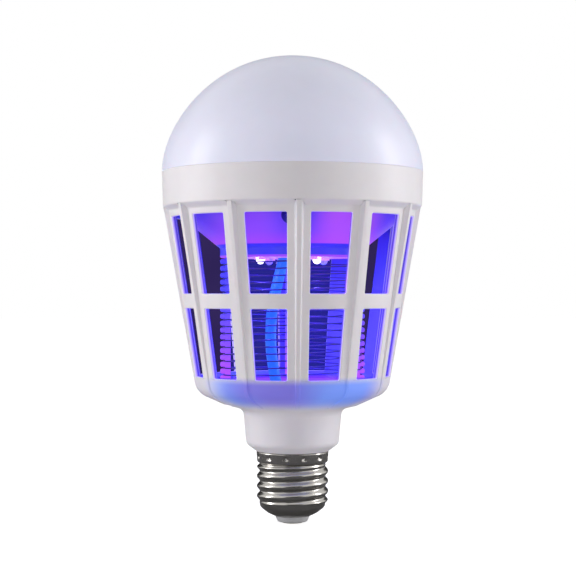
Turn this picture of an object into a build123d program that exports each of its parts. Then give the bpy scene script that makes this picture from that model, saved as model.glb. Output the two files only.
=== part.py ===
from build123d import *
import os
from math import cos, degrees, hypot, pi, radians, sin, tan

os.makedirs("parts", exist_ok=True)

# An insect killer light bulb with a 27 mm Edison screw cap. Sizes are in
# millimetres and angles in degrees. The lamp's axis is +Z, and the origin is
# the middle of the contact at the tip of the cap. Angles round the axis start
# at +X and run anticlockwise seen from above.

# Screw cap
contact_radius = 4.1
contact_height = 0.5
contact_edge = 0.25
rivet_radius = 1.0
rivet_height = 1.5
insulator_tip_radius = 4.6
insulator_neck_radius = 6.2
insulator_bare_height = 2.2
cup_mouth_radius = 6.7
cup_bulge = 0.55
cup_height = 4.3
cap_wall = 0.5
thread_root_radius = 12.0
thread_depth = 1.1
thread_pitch = 3.629
thread_length = 15.4
thread_crest_width = 0.8
thread_foot_width = 2.7
collar_height = 4.0
dimple_count = 12
dimple_ball_radius = 1.0
dimple_depth = 0.3

# Cage: ring, twelve ribbed posts, windows, bowl and neck in one moulding
neck_height = 13.9
neck_shoulder = 3.4
neck_draft = 5.3
neck_wall = 2.0
neck_round = 3.3
neck_blend = 1.8
spigot_wall = 1.8
spigot_depth = 3.2
bowl_radius = 35.1
bowl_slope = 23.3
bowl_floor_dip = 3.5
bowl_round = 7.0
sill_height = 6.15
lower_window_height = 24.85
mid_bar_height = 5.05
upper_window_height = 27.75
top_bar_height = 4.0
ring_height = 12.7
ring_wall = 2.2
ring_draft = 2.1
cage_slope = 10.15
panel_recess = 1.8
panel_wall = 2.0
ledge_chamfer = 1.7
post_count = 12
post_width_top = 8.2
post_width_bottom = 6.4
rib_width_top = 2.4
rib_width_bottom = 1.6
rib_flank = 1.5
window_round = 1.2

# Insect tray at the foot of the grid
tray_shelf_lift = 0.55
tray_shelf_width = 2.0
tray_thickness = 1.6
tray_boss_height = 1.4
tray_boss_width = 5.6

# High-voltage grid
chamber_width = 5.2
grid_wire_inset = 1.2
grid_lead = 5.0
grid_wire_width = 0.5
grid_turns = 8.25
grid_spans_per_turn = 20
grid_first_gap = 1.2
grid_post_count = 4
grid_post_depth = 3.9
grid_post_width = 3.2
tenon_depth = 2.4
tenon_width = 2.2
tenon_height = 1.3
grid_lead_radius = 0.4

# Head under the dome: cone and hub, boards and driver
hub_drop = 18.7
hub_height = 3.4
hub_wall = 2.0
hub_rim_width = 5.3
hub_rim_thickness = 2.0
cone_rim_drop = 1.9
head_wall = 2.0
head_rim_wall = 1.5
head_rim_height = 6.0
board_shelf_reach = 1.5
board_shelf_width = 1.4
screw_inset = 5.9
screw_first_angle = -93.4
screw_count = 3
screw_post_radius = 4.9
screw_recess_radius = 3.5
screw_head_radius = 2.8
screw_head_height = 1.9
screw_shank_radius = 1.45
screw_seat_thickness = 2.0
uv_board_thickness = 1.0
uv_led_inset = 6.6
uv_led_first_angle = -55.8
uv_led_count = 4
led_length = 3.5
led_width = 2.8
led_height = 0.8
driver_board_thickness = 1.6
spreader_thickness = 1.5
led_board_gap = 1.4
led_board_thickness = 1.4
board_screw_inset = 16.0
board_screw_head_radius = 2.5
board_screw_head_height = 1.2
board_screw_shank_radius = 1.2
outer_led_inset = 8.0
outer_led_count = 16
inner_led_inset = 25.0
inner_led_count = 8

# Milky dome
dome_height = 42.2
dome_wall = 1.6
dome_side_pull = 16.0
dome_crown_pull = 30.0
dome_lip_wall = 1.5

# Leads
sleeve_radius = 2.0
wire_radius = 0.6

# Clearances: sliding and seated fits of the mouldings and small parts
fit_clearance = 0.1
lead_clearance = 0.5

# Levels and radii that follow, from the cap upwards
insulator_z = contact_height
cup_z = insulator_z + insulator_bare_height
thread_z = cup_z + cup_height
collar_z = thread_z + thread_length
neck_z = collar_z + collar_height
thread_crest_radius = thread_root_radius + thread_depth
collar_radius = thread_crest_radius + 0.1
collar_bore_radius = collar_radius - cap_wall
thread_bore_radius = thread_root_radius - cap_wall
spigot_radius = collar_bore_radius - fit_clearance / 2

bowl_z = neck_z + neck_height
neck_foot_radius = collar_radius + neck_shoulder
neck_radius = neck_foot_radius + neck_height * tan(radians(neck_draft))
cage_lean = tan(radians(cage_slope))
bowl_rim_z = bowl_z + (bowl_radius - neck_radius) * tan(radians(bowl_slope))
lower_window_z = bowl_rim_z + sill_height
mid_bar_z = lower_window_z + lower_window_height
upper_window_z = mid_bar_z + mid_bar_height
top_bar_z = upper_window_z + upper_window_height
rail_z = top_bar_z + top_bar_height
ring_top_z = rail_z + ring_height
dome_top_z = ring_top_z + dome_height


def rib_radius(z):
    """Radius of the cone that the ribs' crests lie on."""
    return bowl_radius + (z - bowl_rim_z) * cage_lean


def panel_radius(z):
    """Outer radius of the recessed panels between the ribs."""
    return rib_radius(z) - panel_recess


def cage_bore_radius(z):
    """Inner radius of the cage's conical wall."""
    return panel_radius(z) - panel_wall


def bowl_corner(inset, slope, lift=0):
    """Where the cone, set in by inset, meets the bowl's floor rising at slope, lifted by lift."""
    rise = tan(radians(slope))
    cone_foot = bowl_radius - inset - bowl_rim_z * cage_lean
    floor_foot = bowl_z + lift - neck_radius * rise
    radius = (cone_foot + cage_lean * floor_foot) / (1 - cage_lean * rise)
    return radius, floor_foot + radius * rise


rail_radius = rib_radius(rail_z)
ring_bore_radius = rail_radius - ring_wall
ring_top_radius = rail_radius + ring_height * tan(radians(ring_draft))
floor_slope = bowl_slope + bowl_floor_dip
floor_lift = panel_wall / cos(radians(floor_slope))

tray_z = bowl_corner(panel_recess + panel_wall, floor_slope, floor_lift)[1] + tray_shelf_lift
tray_top_z = tray_z + tray_thickness
boss_top_z = tray_top_z + tray_boss_height
hub_radius = cage_bore_radius(tray_z) - chamber_width
grid_radius = hub_radius - grid_wire_inset
hub_z = rail_z - hub_drop
hub_rim_top_z = hub_z + hub_rim_thickness
cone_z = hub_z + hub_height
cone_rim_z = rail_z - cone_rim_drop
cone_rim_radius = cage_bore_radius(cone_rim_z) - fit_clearance
cone_lean = (cone_rim_z - cone_z) / (cone_rim_radius - hub_radius)
hub_bore_radius = hub_radius - hub_rim_width
uv_board_radius = hub_bore_radius - fit_clearance
uv_led_circle_radius = uv_board_radius - uv_led_inset
board_shelf_radius = hub_radius + board_shelf_reach
driver_board_radius = board_shelf_radius + board_shelf_width - fit_clearance

head_rim_radius = ring_bore_radius - fit_clearance
spreader_z = rail_z + head_rim_height
led_board_z = spreader_z + spreader_thickness
screw_circle_radius = head_rim_radius - screw_inset
dome_lip_radius = ring_bore_radius - fit_clearance
dome_lip_bore = dome_lip_radius - dome_lip_wall
led_board_radius = dome_lip_bore - led_board_gap
board_screw_circle_radius = led_board_radius - board_screw_inset
white_led_rings = (
    (led_board_radius - inner_led_inset, inner_led_count),
    (led_board_radius - outer_led_inset, outer_led_count),
)


def cone_height(radius):
    """Height of the head cone's underside at a radius."""
    return cone_z + (radius - hub_radius) * cone_lean


def around(radius, angle, z):
    """The point at a radius and angle round the axis."""
    return (radius * cos(radians(angle)), radius * sin(radians(angle)), z)


def turn(corners, mode=Mode.ADD):
    """Turn a closed outline of (radius, z) or (radius, z, rounding) corners round the axis."""
    points = [corner[:2] for corner in corners]
    rounding = [corner[2] if len(corner) > 2 else 0 for corner in corners]
    with BuildSketch(Plane.XZ) as outline:
        with BuildLine():
            FilletPolyline(*points, radius=rounding, close=True)
        make_face()
    revolve(outline.sketch, axis=Axis.Z, mode=mode)


def drill(places, radius, low, high, mode=Mode.SUBTRACT):
    """Upright round holes, or pins, at (x, y) places between two levels."""
    with BuildSketch(Plane.XY.offset(low)) as rounds:
        with Locations(*places):
            Circle(radius)
    extrude(rounds.sketch, amount=high - low, mode=mode)


def lay_lead(points, radius):
    """A round lead through points, with each bend as large as its runs allow."""
    bends = []
    for before, corner, after in zip(points, points[1:], points[2:]):
        run_in = Vector(*corner) - Vector(*before)
        run_out = Vector(*after) - Vector(*corner)
        half_turn = radians(run_in.get_angle(run_out)) / 2
        bends.append(0.45 * min(run_in.length, run_out.length) / tan(half_turn))
    with BuildLine() as route:
        FilletPolyline(*points, radius=bends)
    with BuildSketch(Plane(origin=route.line @ 0, z_dir=route.line % 0)) as section:
        Circle(radius)
    sweep(section.sketch, path=route.line)
    print("lead bends", [round(bend, 1) for bend in bends])


def finish(part, name):
    """Label a piece and write its STEP file."""
    part.label = name
    export_step(part, f"parts/{name}.step")


# Centre contact, a disc with a short rivet up into the insulator
with BuildPart() as centre_contact:
    turn([
        (0, 0),
        (contact_radius - contact_edge, 0),
        (contact_radius, contact_edge),
        (contact_radius, contact_height),
        (rivet_radius, contact_height),
        (rivet_radius, contact_height + rivet_height),
        (0, contact_height + rivet_height),
    ])
finish(centre_contact.part, "centre_contact")


def cup_arc(inset, top_radius, top_z):
    """Three points of the cap's rounded foot, set in by inset along its chord's normal."""
    chord = hypot(thread_root_radius - cup_mouth_radius, cup_height)
    in_r = -cup_height / chord
    in_z = (thread_root_radius - cup_mouth_radius) / chord
    low = (cup_mouth_radius + inset * in_r, cup_z + inset * in_z)
    middle = (
        (cup_mouth_radius + thread_root_radius) / 2 + (inset - cup_bulge) * in_r,
        cup_z + cup_height / 2 + (inset - cup_bulge) * in_z,
    )
    return low, middle, (top_radius, top_z)


# Base insulator, a bare frustum that widens inside the cap's foot
insulator_top_z = thread_z + 1.5
with BuildPart() as base_insulator:
    with BuildSketch(Plane.XZ):
        with BuildLine():
            low, middle, high = cup_arc(
                cap_wall + fit_clearance, thread_bore_radius - fit_clearance, thread_z + fit_clearance
            )
            foot = Polyline(
                (rivet_radius + fit_clearance, insulator_z),
                (insulator_tip_radius, insulator_z),
                (insulator_neck_radius - fit_clearance, cup_z),
                low,
            )
            ThreePointArc(low, middle, high)
            Polyline(
                high,
                (thread_bore_radius - fit_clearance, insulator_top_z),
                (rivet_radius + fit_clearance, insulator_top_z),
                foot @ 0,
            )
        make_face()
    revolve(axis=Axis.Z)
finish(base_insulator.part, "base_insulator")

# Thread of the cap: a five-sided ridge swept up a right-hand helix, then
# trimmed by a lead-in cone at its foot and by the collar at its top
thread_foot_z = thread_z - 0.4
with BuildPart() as thread_ridge:
    with BuildLine() as helix:
        Helix(
            pitch=thread_pitch,
            height=thread_length + thread_pitch,
            radius=thread_root_radius,
            center=(0, 0, thread_z - 0.7 * thread_pitch),
        )
    with BuildSketch(Plane(origin=helix.line @ 0, x_dir=(1, 0, 0), z_dir=helix.line % 0)):
        with BuildLine():
            Polyline(
                (-cap_wall / 2, -thread_foot_width / 2),
                (0.5 * thread_depth, -(thread_foot_width + thread_crest_width) / 3.2),
                (thread_depth, -thread_crest_width / 2),
                (thread_depth, thread_crest_width / 2),
                (0.5 * thread_depth, (thread_foot_width + thread_crest_width) / 3.2),
                (-cap_wall / 2, thread_foot_width / 2),
                close=True,
            )
        make_face()
    sweep(path=helix.line, is_frenet=True)
    turn([
        (thread_bore_radius, thread_foot_z),
        (thread_root_radius, thread_foot_z),
        (thread_crest_radius + 0.05, thread_foot_z + 1.6 * thread_depth),
        (thread_crest_radius + 0.05, collar_z + 0.3),
        (thread_bore_radius, collar_z + 0.3),
    ], mode=Mode.INTERSECT)

# Screw shell, one rolled thin-walled cap of foot, thread and collar
with BuildPart() as screw_shell:
    with BuildSketch(Plane.XZ):
        with BuildLine():
            low, middle, high = cup_arc(0, thread_root_radius, thread_z)
            Polyline((0, thread_z), (0, low[1]), low)
            ThreePointArc(low, middle, high)
            Polyline(
                high,
                (thread_root_radius, collar_z - 0.6),
                (collar_radius, collar_z + 0.2),
                (collar_radius, neck_z),
                (0, neck_z),
                (0, thread_z),
            )
        make_face()
    revolve(axis=Axis.Z)
    add(thread_ridge.part)
    with BuildSketch(Plane.XZ):
        with BuildLine():
            low, middle, high = cup_arc(cap_wall, thread_bore_radius, thread_z + 0.1)
            Polyline((0, thread_z), (0, cup_z - 1), (low[0], cup_z - 1), low)
            ThreePointArc(low, middle, high)
            Polyline(
                high,
                (thread_bore_radius, collar_z - 0.1),
                (collar_bore_radius, collar_z + 0.7),
                (collar_bore_radius, neck_z + 1),
                (0, neck_z + 1),
                (0, thread_z),
            )
        make_face()
    revolve(axis=Axis.Z, mode=Mode.SUBTRACT)
    dimple_reach = collar_radius + dimple_ball_radius - dimple_depth
    with Locations(Plane.XY.offset(neck_z - collar_height / 2)):
        with PolarLocations(dimple_reach, dimple_count):
            Sphere(dimple_ball_radius, mode=Mode.SUBTRACT)
finish(screw_shell.part, "screw_shell")

# Cage: the turned wall
base_corner_r, base_corner_z = bowl_corner(panel_recess, floor_slope)
shelf_bore_radius = cage_bore_radius(tray_z) - tray_shelf_width
neck_bore_radius = neck_radius - neck_wall
spigot_bore_radius = spigot_radius - spigot_wall


def floor_inner_z(radius):
    """Height of the bowl floor's inner face at a radius."""
    return bowl_z + (radius - neck_radius) * tan(radians(floor_slope)) + floor_lift


with BuildPart() as cage:
    turn([
        (ring_bore_radius, ring_top_z),
        (ring_top_radius, ring_top_z, 0.4),
        (rail_radius, rail_z, 0.4),
        (panel_radius(rail_z - ledge_chamfer), rail_z - ledge_chamfer),
        (base_corner_r, base_corner_z, bowl_round - panel_recess),
        (neck_radius, bowl_z, neck_blend),
        (neck_foot_radius, neck_z, neck_round),
        (spigot_radius, neck_z),
        (spigot_radius, neck_z - spigot_depth),
        (spigot_bore_radius, neck_z - spigot_depth),
        (spigot_bore_radius, neck_z + 1.5),
        (neck_foot_radius - neck_wall, neck_z + neck_round + 1),
        (neck_bore_radius, floor_inner_z(neck_bore_radius)),
        (shelf_bore_radius, floor_inner_z(shelf_bore_radius)),
        (shelf_bore_radius, tray_z),
        (cage_bore_radius(tray_z), tray_z),
        (cage_bore_radius(rail_z), rail_z),
        (ring_bore_radius, rail_z),
    ])

# One rib: lofted across its thickness from a low flank outline through two
# full crest outlines to the other flank, each in a plane along the post
rib_root = panel_recess + 1.2
rib_sink = 0.15
crest_inset = 0.05


def rib_outline(side, flank):
    """Face of the rib's outline, at a crest edge (flank 0) or a flank's foot (flank 1)."""
    drop = flank * (panel_recess + rib_sink) + crest_inset
    top_reach = rib_width_top / 2 + flank * rib_flank
    foot_reach = rib_width_bottom / 2 + flank * rib_flank
    tilt = (top_reach - foot_reach) / (rail_z - bowl_z)
    plane = Plane(
        origin=(0, side * foot_reach, bowl_z),
        x_dir=(1, 0, 0),
        z_dir=(0, -1, side * tilt),
    )
    outer_r, outer_z = bowl_corner(drop, bowl_slope + flank * (bowl_floor_dip + rib_sink))
    inner_r, inner_z = bowl_corner(rib_root, floor_slope + bowl_floor_dip)
    with BuildSketch(plane) as outline:
        with BuildLine():
            FilletPolyline(
                (rail_radius - drop, rail_z - bowl_z),
                (outer_r, outer_z - bowl_z),
                (neck_radius, 0),
                (neck_radius + 0.5, 0.9),
                (inner_r, inner_z - bowl_z),
                (rail_radius - rib_root, rail_z - bowl_z),
                radius=[0, bowl_round - drop, 0, 0, bowl_round - rib_root, 0],
                close=True,
            )
        make_face()
    return outline.sketch


with BuildPart() as rib:
    loft([rib_outline(side, flank) for side, flank in ((-1, 1), (-1, 0), (1, 0), (1, 1))], ruled=True)


def window_outline(low_z, high_z):
    """Corners of a window between two posts, in the plane across it."""

    def half_width(z):
        share = (z - lower_window_z) / (top_bar_z - lower_window_z)
        post = post_width_bottom + share * (post_width_top - post_width_bottom)
        return panel_radius(z) * sin(radians(180 / post_count)) - post / 2

    low, high = half_width(low_z), half_width(high_z)
    return [(-low, low_z), (low, low_z), (high, high_z), (-high, high_z)]


# One pair of windows, cut radially outwards between two posts
with BuildPart() as window_pair:
    with BuildSketch(Plane(origin=(0, 0, 0), x_dir=(0, 1, 0), z_dir=(1, 0, 0))) as panes:
        with BuildLine():
            Polyline(*window_outline(lower_window_z, mid_bar_z), close=True)
        make_face()
        with BuildLine():
            Polyline(*window_outline(upper_window_z, top_bar_z), close=True)
        make_face()
        fillet(panes.vertices(), window_round)
    extrude(amount=rail_radius + 10)
    with BuildSketch(Plane.XY):
        Circle(grid_radius)
    extrude(amount=dome_top_z, mode=Mode.SUBTRACT)

with cage:
    with PolarLocations(0, post_count):
        add(rib.part)
    with PolarLocations(0, post_count, start_angle=180 / post_count):
        add(window_pair.part, mode=Mode.SUBTRACT)

# The moulding is kept as a bowl, twelve posts, twelve bars and a ring that
# meet face to face, so that each stays simple and the windows stay open
foot_cut_z = lower_window_z + window_round
head_cut_z = top_bar_z - window_round
bar_low_z = mid_bar_z - window_round
bar_high_z = upper_window_z + window_round

with BuildPart() as bays:
    with BuildSketch(Plane(origin=(0, 0, 0), x_dir=(0, 1, 0), z_dir=(1, 0, 0))):
        with BuildLine():
            Polyline(*window_outline(bar_low_z, bar_high_z), close=True)
        make_face()
    extrude(amount=rail_radius + 10)
    with BuildSketch(Plane.XY):
        Circle(grid_radius)
    extrude(amount=dome_top_z, mode=Mode.SUBTRACT)

with BuildPart() as cage_bowl:
    add(cage.part)
    split(bisect_by=Plane.XY.offset(foot_cut_z), keep=Keep.BOTTOM)
finish(cage_bowl.part, "cage_bowl")

with BuildPart() as cage_ring:
    add(cage.part)
    split(bisect_by=Plane.XY.offset(head_cut_z), keep=Keep.TOP)
finish(cage_ring.part, "cage_ring")

with BuildPart() as cage_posts:
    add(cage.part)
    split(bisect_by=Plane.XY.offset(foot_cut_z), keep=Keep.TOP)
    split(bisect_by=Plane.XY.offset(head_cut_z), keep=Keep.BOTTOM)
    with PolarLocations(0, post_count, start_angle=180 / post_count):
        add(bays.part, mode=Mode.SUBTRACT)
finish(cage_posts.part, "cage_posts")

with BuildPart() as cage_bars:
    with PolarLocations(0, post_count, start_angle=180 / post_count):
        add(bays.part)
    add(cage.part, mode=Mode.INTERSECT)
finish(cage_bars.part, "cage_bars")

# Route of the mains leads' sleeve, bowed aside between the cap and the driver
head_lift = head_wall * hypot(1, cone_lean)
driver_board_z = cone_height(board_shelf_radius) + head_lift
sleeve_foot_z = neck_z + 1.2
sleeve_route = [
    (-1.4, 0, driver_board_z - 0.6),
    (-4.6, 0, hub_z - 5.5),
    (-7.6, 0, hub_z - 18.0),
    (-8.2, 0, hub_z - 32.0),
    (-6.2, 0, hub_z - 45.5),
    (-3.0, 0, hub_z - 57.5),
    (-1.0, 0, sleeve_foot_z),
]


def sleeve_offset(z):
    """How far the sleeve's route lies from the axis, along X, at a level."""
    for upper, lower in zip(sleeve_route, sleeve_route[1:]):
        if lower[2] <= z <= upper[2]:
            share = (z - lower[2]) / (upper[2] - lower[2])
            return lower[0] + share * (upper[0] - lower[0])
    return 0


with BuildPart() as lead_sleeve:
    lay_lead(sleeve_route, sleeve_radius)
finish(lead_sleeve.part, "lead_sleeve")

lead_foot_z = contact_height + rivet_height
sleeve_foot_x = sleeve_route[-1][0]
with BuildPart() as centre_lead:
    lay_lead([
        (sleeve_foot_x - 0.75, 0, sleeve_foot_z - 0.2),
        (sleeve_foot_x - 0.9, 0, neck_z - 6),
        (0, 0, insulator_top_z + 6),
        (0, 0, lead_foot_z),
    ], wire_radius)
finish(centre_lead.part, "centre_lead")

with BuildPart() as shell_lead:
    lay_lead([
        (sleeve_foot_x + 0.75, 0, sleeve_foot_z - 0.2),
        (sleeve_foot_x + 1.6, 0, neck_z - 5),
        (thread_bore_radius - 2.2, 0, collar_z - 5),
        (thread_bore_radius - wire_radius - 0.05, 0, insulator_top_z + 2),
    ], wire_radius)
finish(shell_lead.part, "shell_lead")

# Insect tray: a plate on the bowl's shelf, with a boss ring for the grid posts
boss_outer_radius = hub_radius + 0.6
boss_inner_radius = boss_outer_radius - tray_boss_width
post_angles = [index * 360 / grid_post_count for index in range(grid_post_count)]
post_middle_radius = hub_radius - grid_post_depth / 2


def tenon_outlines(clearance):
    """Tenons of the grid posts, drawn on the sketch plane in use."""
    with PolarLocations(post_middle_radius, grid_post_count):
        Rectangle(tenon_depth + 2 * clearance, tenon_width + 2 * clearance)


with BuildPart() as insect_tray:
    turn([
        (0, tray_z),
        (cage_bore_radius(tray_z) - fit_clearance, tray_z),
        (cage_bore_radius(tray_z) - fit_clearance, tray_top_z),
        (boss_outer_radius, tray_top_z),
        (boss_outer_radius, boss_top_z),
        (boss_inner_radius, boss_top_z),
        (boss_inner_radius, tray_top_z),
        (0, tray_top_z),
    ])
    drill([(sleeve_offset(tray_z), 0)], sleeve_radius + lead_clearance, tray_z, tray_top_z)
    with BuildSketch(Plane.XY.offset(boss_top_z - tenon_height - fit_clearance)):
        tenon_outlines(fit_clearance)
    extrude(amount=tenon_height + 1, mode=Mode.SUBTRACT)
finish(insect_tray.part, "insect_tray")

# Grid posts: combs with a notch for each pass of the two wires
half_span = 180 / grid_spans_per_turn
wire_half = grid_wire_width / 2
notch_floor = (grid_radius - wire_half) * cos(radians(half_span))
grid_first_z = boss_top_z + grid_first_gap
notch_pitch = grid_lead / 2
notch_height = grid_wire_width + grid_lead * grid_post_width / (2 * pi * grid_radius) + fit_clearance
notch_count = int(grid_turns * 2) + 1

for index, angle in enumerate(post_angles):
    with BuildPart() as grid_post:
        with BuildSketch(Plane.XY.offset(boss_top_z)):
            with Locations((post_middle_radius, 0)):
                Rectangle(grid_post_depth, grid_post_width)
        extrude(amount=hub_z - boss_top_z)
        with BuildSketch(Plane.XY.offset(boss_top_z - tenon_height)):
            with Locations((post_middle_radius, 0)):
                Rectangle(tenon_depth, tenon_width)
        extrude(amount=hub_z - boss_top_z + 2 * tenon_height)
        first_notch_z = grid_first_z + (index % 2) * notch_pitch / 2
        for notch in range(notch_count):
            level = first_notch_z + notch * notch_pitch
            with BuildSketch(Plane.XZ.offset(-grid_post_width)):
                with Locations((notch_floor + grid_post_depth / 2, level)):
                    Rectangle(grid_post_depth, notch_height)
            extrude(amount=2 * grid_post_width, mode=Mode.SUBTRACT)
    finish(grid_post.part.rotate(Axis.Z, angle), f"grid_post_{index + 1}")


def wire_section(angle, z):
    """Square section of a grid wire, in the upright plane at an angle round the axis."""
    plane = Plane(origin=(0, 0, z), x_dir=around(1, angle, 0), z_dir=around(1, angle - 90, 0))
    with BuildSketch(plane) as section:
        with Locations((grid_radius, 0)):
            Rectangle(grid_wire_width, grid_wire_width)
    return section.sketch


# Two interleaved grid wires, half a turn apart, drawn straight from post to
# post in short spans, with a span's middle at each post
span_count = int(grid_turns * grid_spans_per_turn) + 1
span_angle = 360 / grid_spans_per_turn
for name, start_angle in (("grid_wire_live", 0), ("grid_wire_return", 180)):
    with BuildPart() as grid_wire:
        sections = []
        for corner in range(span_count + 1):
            turned = (corner - 0.5) * span_angle
            sections.append(wire_section(start_angle + turned, grid_first_z + grid_lead * turned / 360))
        loft(sections, ruled=True)
    finish(grid_wire.part, name)

# Head base: rim, cone and hub, with hollow screw posts up to the spreader
shelf_outer_radius = board_shelf_radius + board_shelf_width
head_rim_bore = head_rim_radius - head_rim_wall
screw_angles = [screw_first_angle + index * 360 / screw_count for index in range(screw_count)]
screw_places = [around(screw_circle_radius, angle, 0)[:2] for angle in screw_angles]
lead_pass_radius = post_middle_radius - 1.6
grid_end_angle = grid_turns * 360 + half_span
grid_end_z = grid_first_z + grid_lead * grid_end_angle / 360
lead_turn = degrees((wire_half + grid_lead_radius) / grid_radius) + 0.3
grid_lead_angles = {
    "grid_lead_live": grid_end_angle + lead_turn,
    "grid_lead_return": grid_end_angle + lead_turn + 180,
}
lead_pass_places = [around(lead_pass_radius, angle, 0)[:2] for angle in grid_lead_angles.values()]
inner_cone_foot_radius = hub_radius - hub_wall
inner_cone_foot_z = cone_height(inner_cone_foot_radius) + head_lift

with BuildPart() as head_base:
    turn([
        (head_rim_bore, spreader_z),
        (head_rim_radius, spreader_z),
        (head_rim_radius, rail_z),
        (cone_rim_radius, rail_z),
        (cone_rim_radius, cone_rim_z, 0.6),
        (hub_radius, cone_z, 1.0),
        (hub_radius, hub_z, 0.5),
        (hub_bore_radius, hub_z),
        (hub_bore_radius, hub_z + uv_board_thickness),
        (hub_bore_radius - 1.6, hub_z + uv_board_thickness),
        (hub_bore_radius - 1.6, hub_rim_top_z),
        (inner_cone_foot_radius, hub_rim_top_z),
        (inner_cone_foot_radius, inner_cone_foot_z),
        (board_shelf_radius, driver_board_z),
        (shelf_outer_radius, driver_board_z),
        (shelf_outer_radius, cone_height(shelf_outer_radius) + head_lift),
        (head_rim_bore, cone_height(head_rim_bore) + head_lift),
    ])
    drill(screw_places, screw_post_radius, cone_height(screw_circle_radius) + 0.5, spreader_z, Mode.ADD)
    turn([
        (0, 0),
        (rail_radius * 2, 0),
        (rail_radius * 2, rail_z),
        (cone_rim_radius, rail_z),
        (cone_rim_radius, cone_rim_z, 0.6),
        (hub_radius, cone_z, 1.0),
        (hub_radius, hub_z - 1),
        (0, hub_z - 1),
    ], mode=Mode.SUBTRACT)
    with BuildSketch(Plane.XY.offset(rail_z)):
        Circle(rail_radius * 2)
        Circle(head_rim_radius, mode=Mode.SUBTRACT)
    extrude(amount=head_rim_height, mode=Mode.SUBTRACT)
    drill(screw_places, screw_recess_radius, hub_z, spreader_z - screw_seat_thickness)
    drill(screw_places, screw_shank_radius + fit_clearance, hub_z, spreader_z)
    drill(lead_pass_places, grid_lead_radius + lead_clearance, hub_z, hub_rim_top_z)
    with BuildSketch(Plane.XY.offset(hub_z - 1)):
        tenon_outlines(fit_clearance)
    extrude(amount=tenon_height + fit_clearance + 1, mode=Mode.SUBTRACT)
finish(head_base.part, "head_base")

with BuildPart() as head_screws:
    drill(screw_places, screw_shank_radius, spreader_z - screw_seat_thickness, led_board_z - 0.1, Mode.ADD)
    drill(
        screw_places,
        screw_head_radius,
        spreader_z - screw_seat_thickness - screw_head_height,
        spreader_z - screw_seat_thickness,
        Mode.ADD,
    )
finish(head_screws.part, "head_screws")

# Ultraviolet board under the hub, its four emitters and their leads
uv_lead_places = [(9.0, -1.2), (9.0, 1.2)]
with BuildPart() as uv_board:
    with BuildSketch(Plane.XY.offset(hub_z)):
        Circle(uv_board_radius)
        with Locations((sleeve_offset(hub_z), 0)):
            Circle(sleeve_radius + lead_clearance, mode=Mode.SUBTRACT)
    extrude(amount=uv_board_thickness)
finish(uv_board.part, "uv_board")

with BuildPart() as uv_leds:
    with BuildSketch(Plane.XY.offset(hub_z - led_height)):
        with PolarLocations(uv_led_circle_radius, uv_led_count, start_angle=uv_led_first_angle):
            Rectangle(led_width, led_length)
    extrude(amount=led_height)
finish(uv_leds.part, "uv_leds")

with BuildPart() as uv_board_leads:
    drill(uv_lead_places, wire_radius, hub_z + uv_board_thickness, driver_board_z, Mode.ADD)
finish(uv_board_leads.part, "uv_board_leads")

# Leads from the driver down through the hub's rim to the grid wires' ends
for name, angle in grid_lead_angles.items():
    with BuildPart() as grid_lead_wire:
        lay_lead([
            around(lead_pass_radius, angle, driver_board_z),
            around(lead_pass_radius, angle, hub_z + 0.2),
            around(grid_radius, angle, grid_end_z - 0.3),
        ], grid_lead_radius)
    finish(grid_lead_wire.part, name)

# Driver board and what it carries
driver_top_z = driver_board_z + driver_board_thickness
with BuildPart() as driver_board:
    with BuildSketch(Plane.XY.offset(driver_board_z)):
        Circle(driver_board_radius)
    extrude(amount=driver_board_thickness)
finish(driver_board.part, "driver_board")

capacitor_radius = 4.0
capacitor_height = 11.5


def on_board(across, along):
    """A place on the driver board, as shares of its radius."""
    return (across * driver_board_radius, along * driver_board_radius)


with BuildPart() as bulk_capacitor:
    with BuildSketch(Plane.XY.offset(driver_top_z)):
        with Locations(on_board(-0.48, 0.34)):
            Circle(capacitor_radius)
    extrude(amount=capacitor_height)
    fillet(bulk_capacitor.faces().sort_by(Axis.Z)[-1].edges(), 0.6)
finish(bulk_capacitor.part, "bulk_capacitor")

transformer_core = (13.0, 6.0, 12.0)
transformer_bobbin = (9.0, 11.0, 8.5)
with BuildPart() as transformer:
    with BuildSketch(Plane.XY.offset(driver_top_z)):
        with Locations(on_board(0.34, 0.38)):
            Rectangle(transformer_core[0], transformer_core[1])
    extrude(amount=transformer_core[2])
    with BuildSketch(Plane.XY.offset(driver_top_z)):
        with Locations(on_board(0.34, 0.38)):
            RectangleRounded(transformer_bobbin[0], transformer_bobbin[1], 2)
    extrude(amount=transformer_bobbin[2])
finish(transformer.part, "transformer")

with BuildPart() as bridge_rectifier:
    with BuildSketch(Plane.XY.offset(driver_top_z)):
        with Locations(on_board(-0.41, -0.14)):
            Rectangle(6.2, 5.0)
    extrude(amount=2.5)
    chamfer(bridge_rectifier.faces().sort_by(Axis.Z)[-1].edges(), 0.4)
finish(bridge_rectifier.part, "bridge_rectifier")

resistor_radius = 1.6
resistor_length = 9.0
resistor_x, resistor_y = on_board(-0.75, -0.38)
with BuildPart() as fusible_resistor:
    with BuildSketch(Plane.YZ.offset(resistor_x)):
        with Locations((resistor_y, driver_top_z + resistor_radius)):
            Circle(resistor_radius)
    extrude(amount=resistor_length)
    fillet(fusible_resistor.faces().filter_by(Axis.X).edges(), 0.5)
finish(fusible_resistor.part, "fusible_resistor")

multiplier_rows = [on_board(0.1 + 0.26 * index, -0.28) for index in range(3)]
with BuildPart() as multiplier_capacitors:
    with BuildSketch(Plane.XY.offset(driver_top_z)):
        with Locations(*multiplier_rows):
            RectangleRounded(4.6, 9.0, 1.2)
    extrude(amount=8.0)
finish(multiplier_capacitors.part, "multiplier_capacitors")

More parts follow.
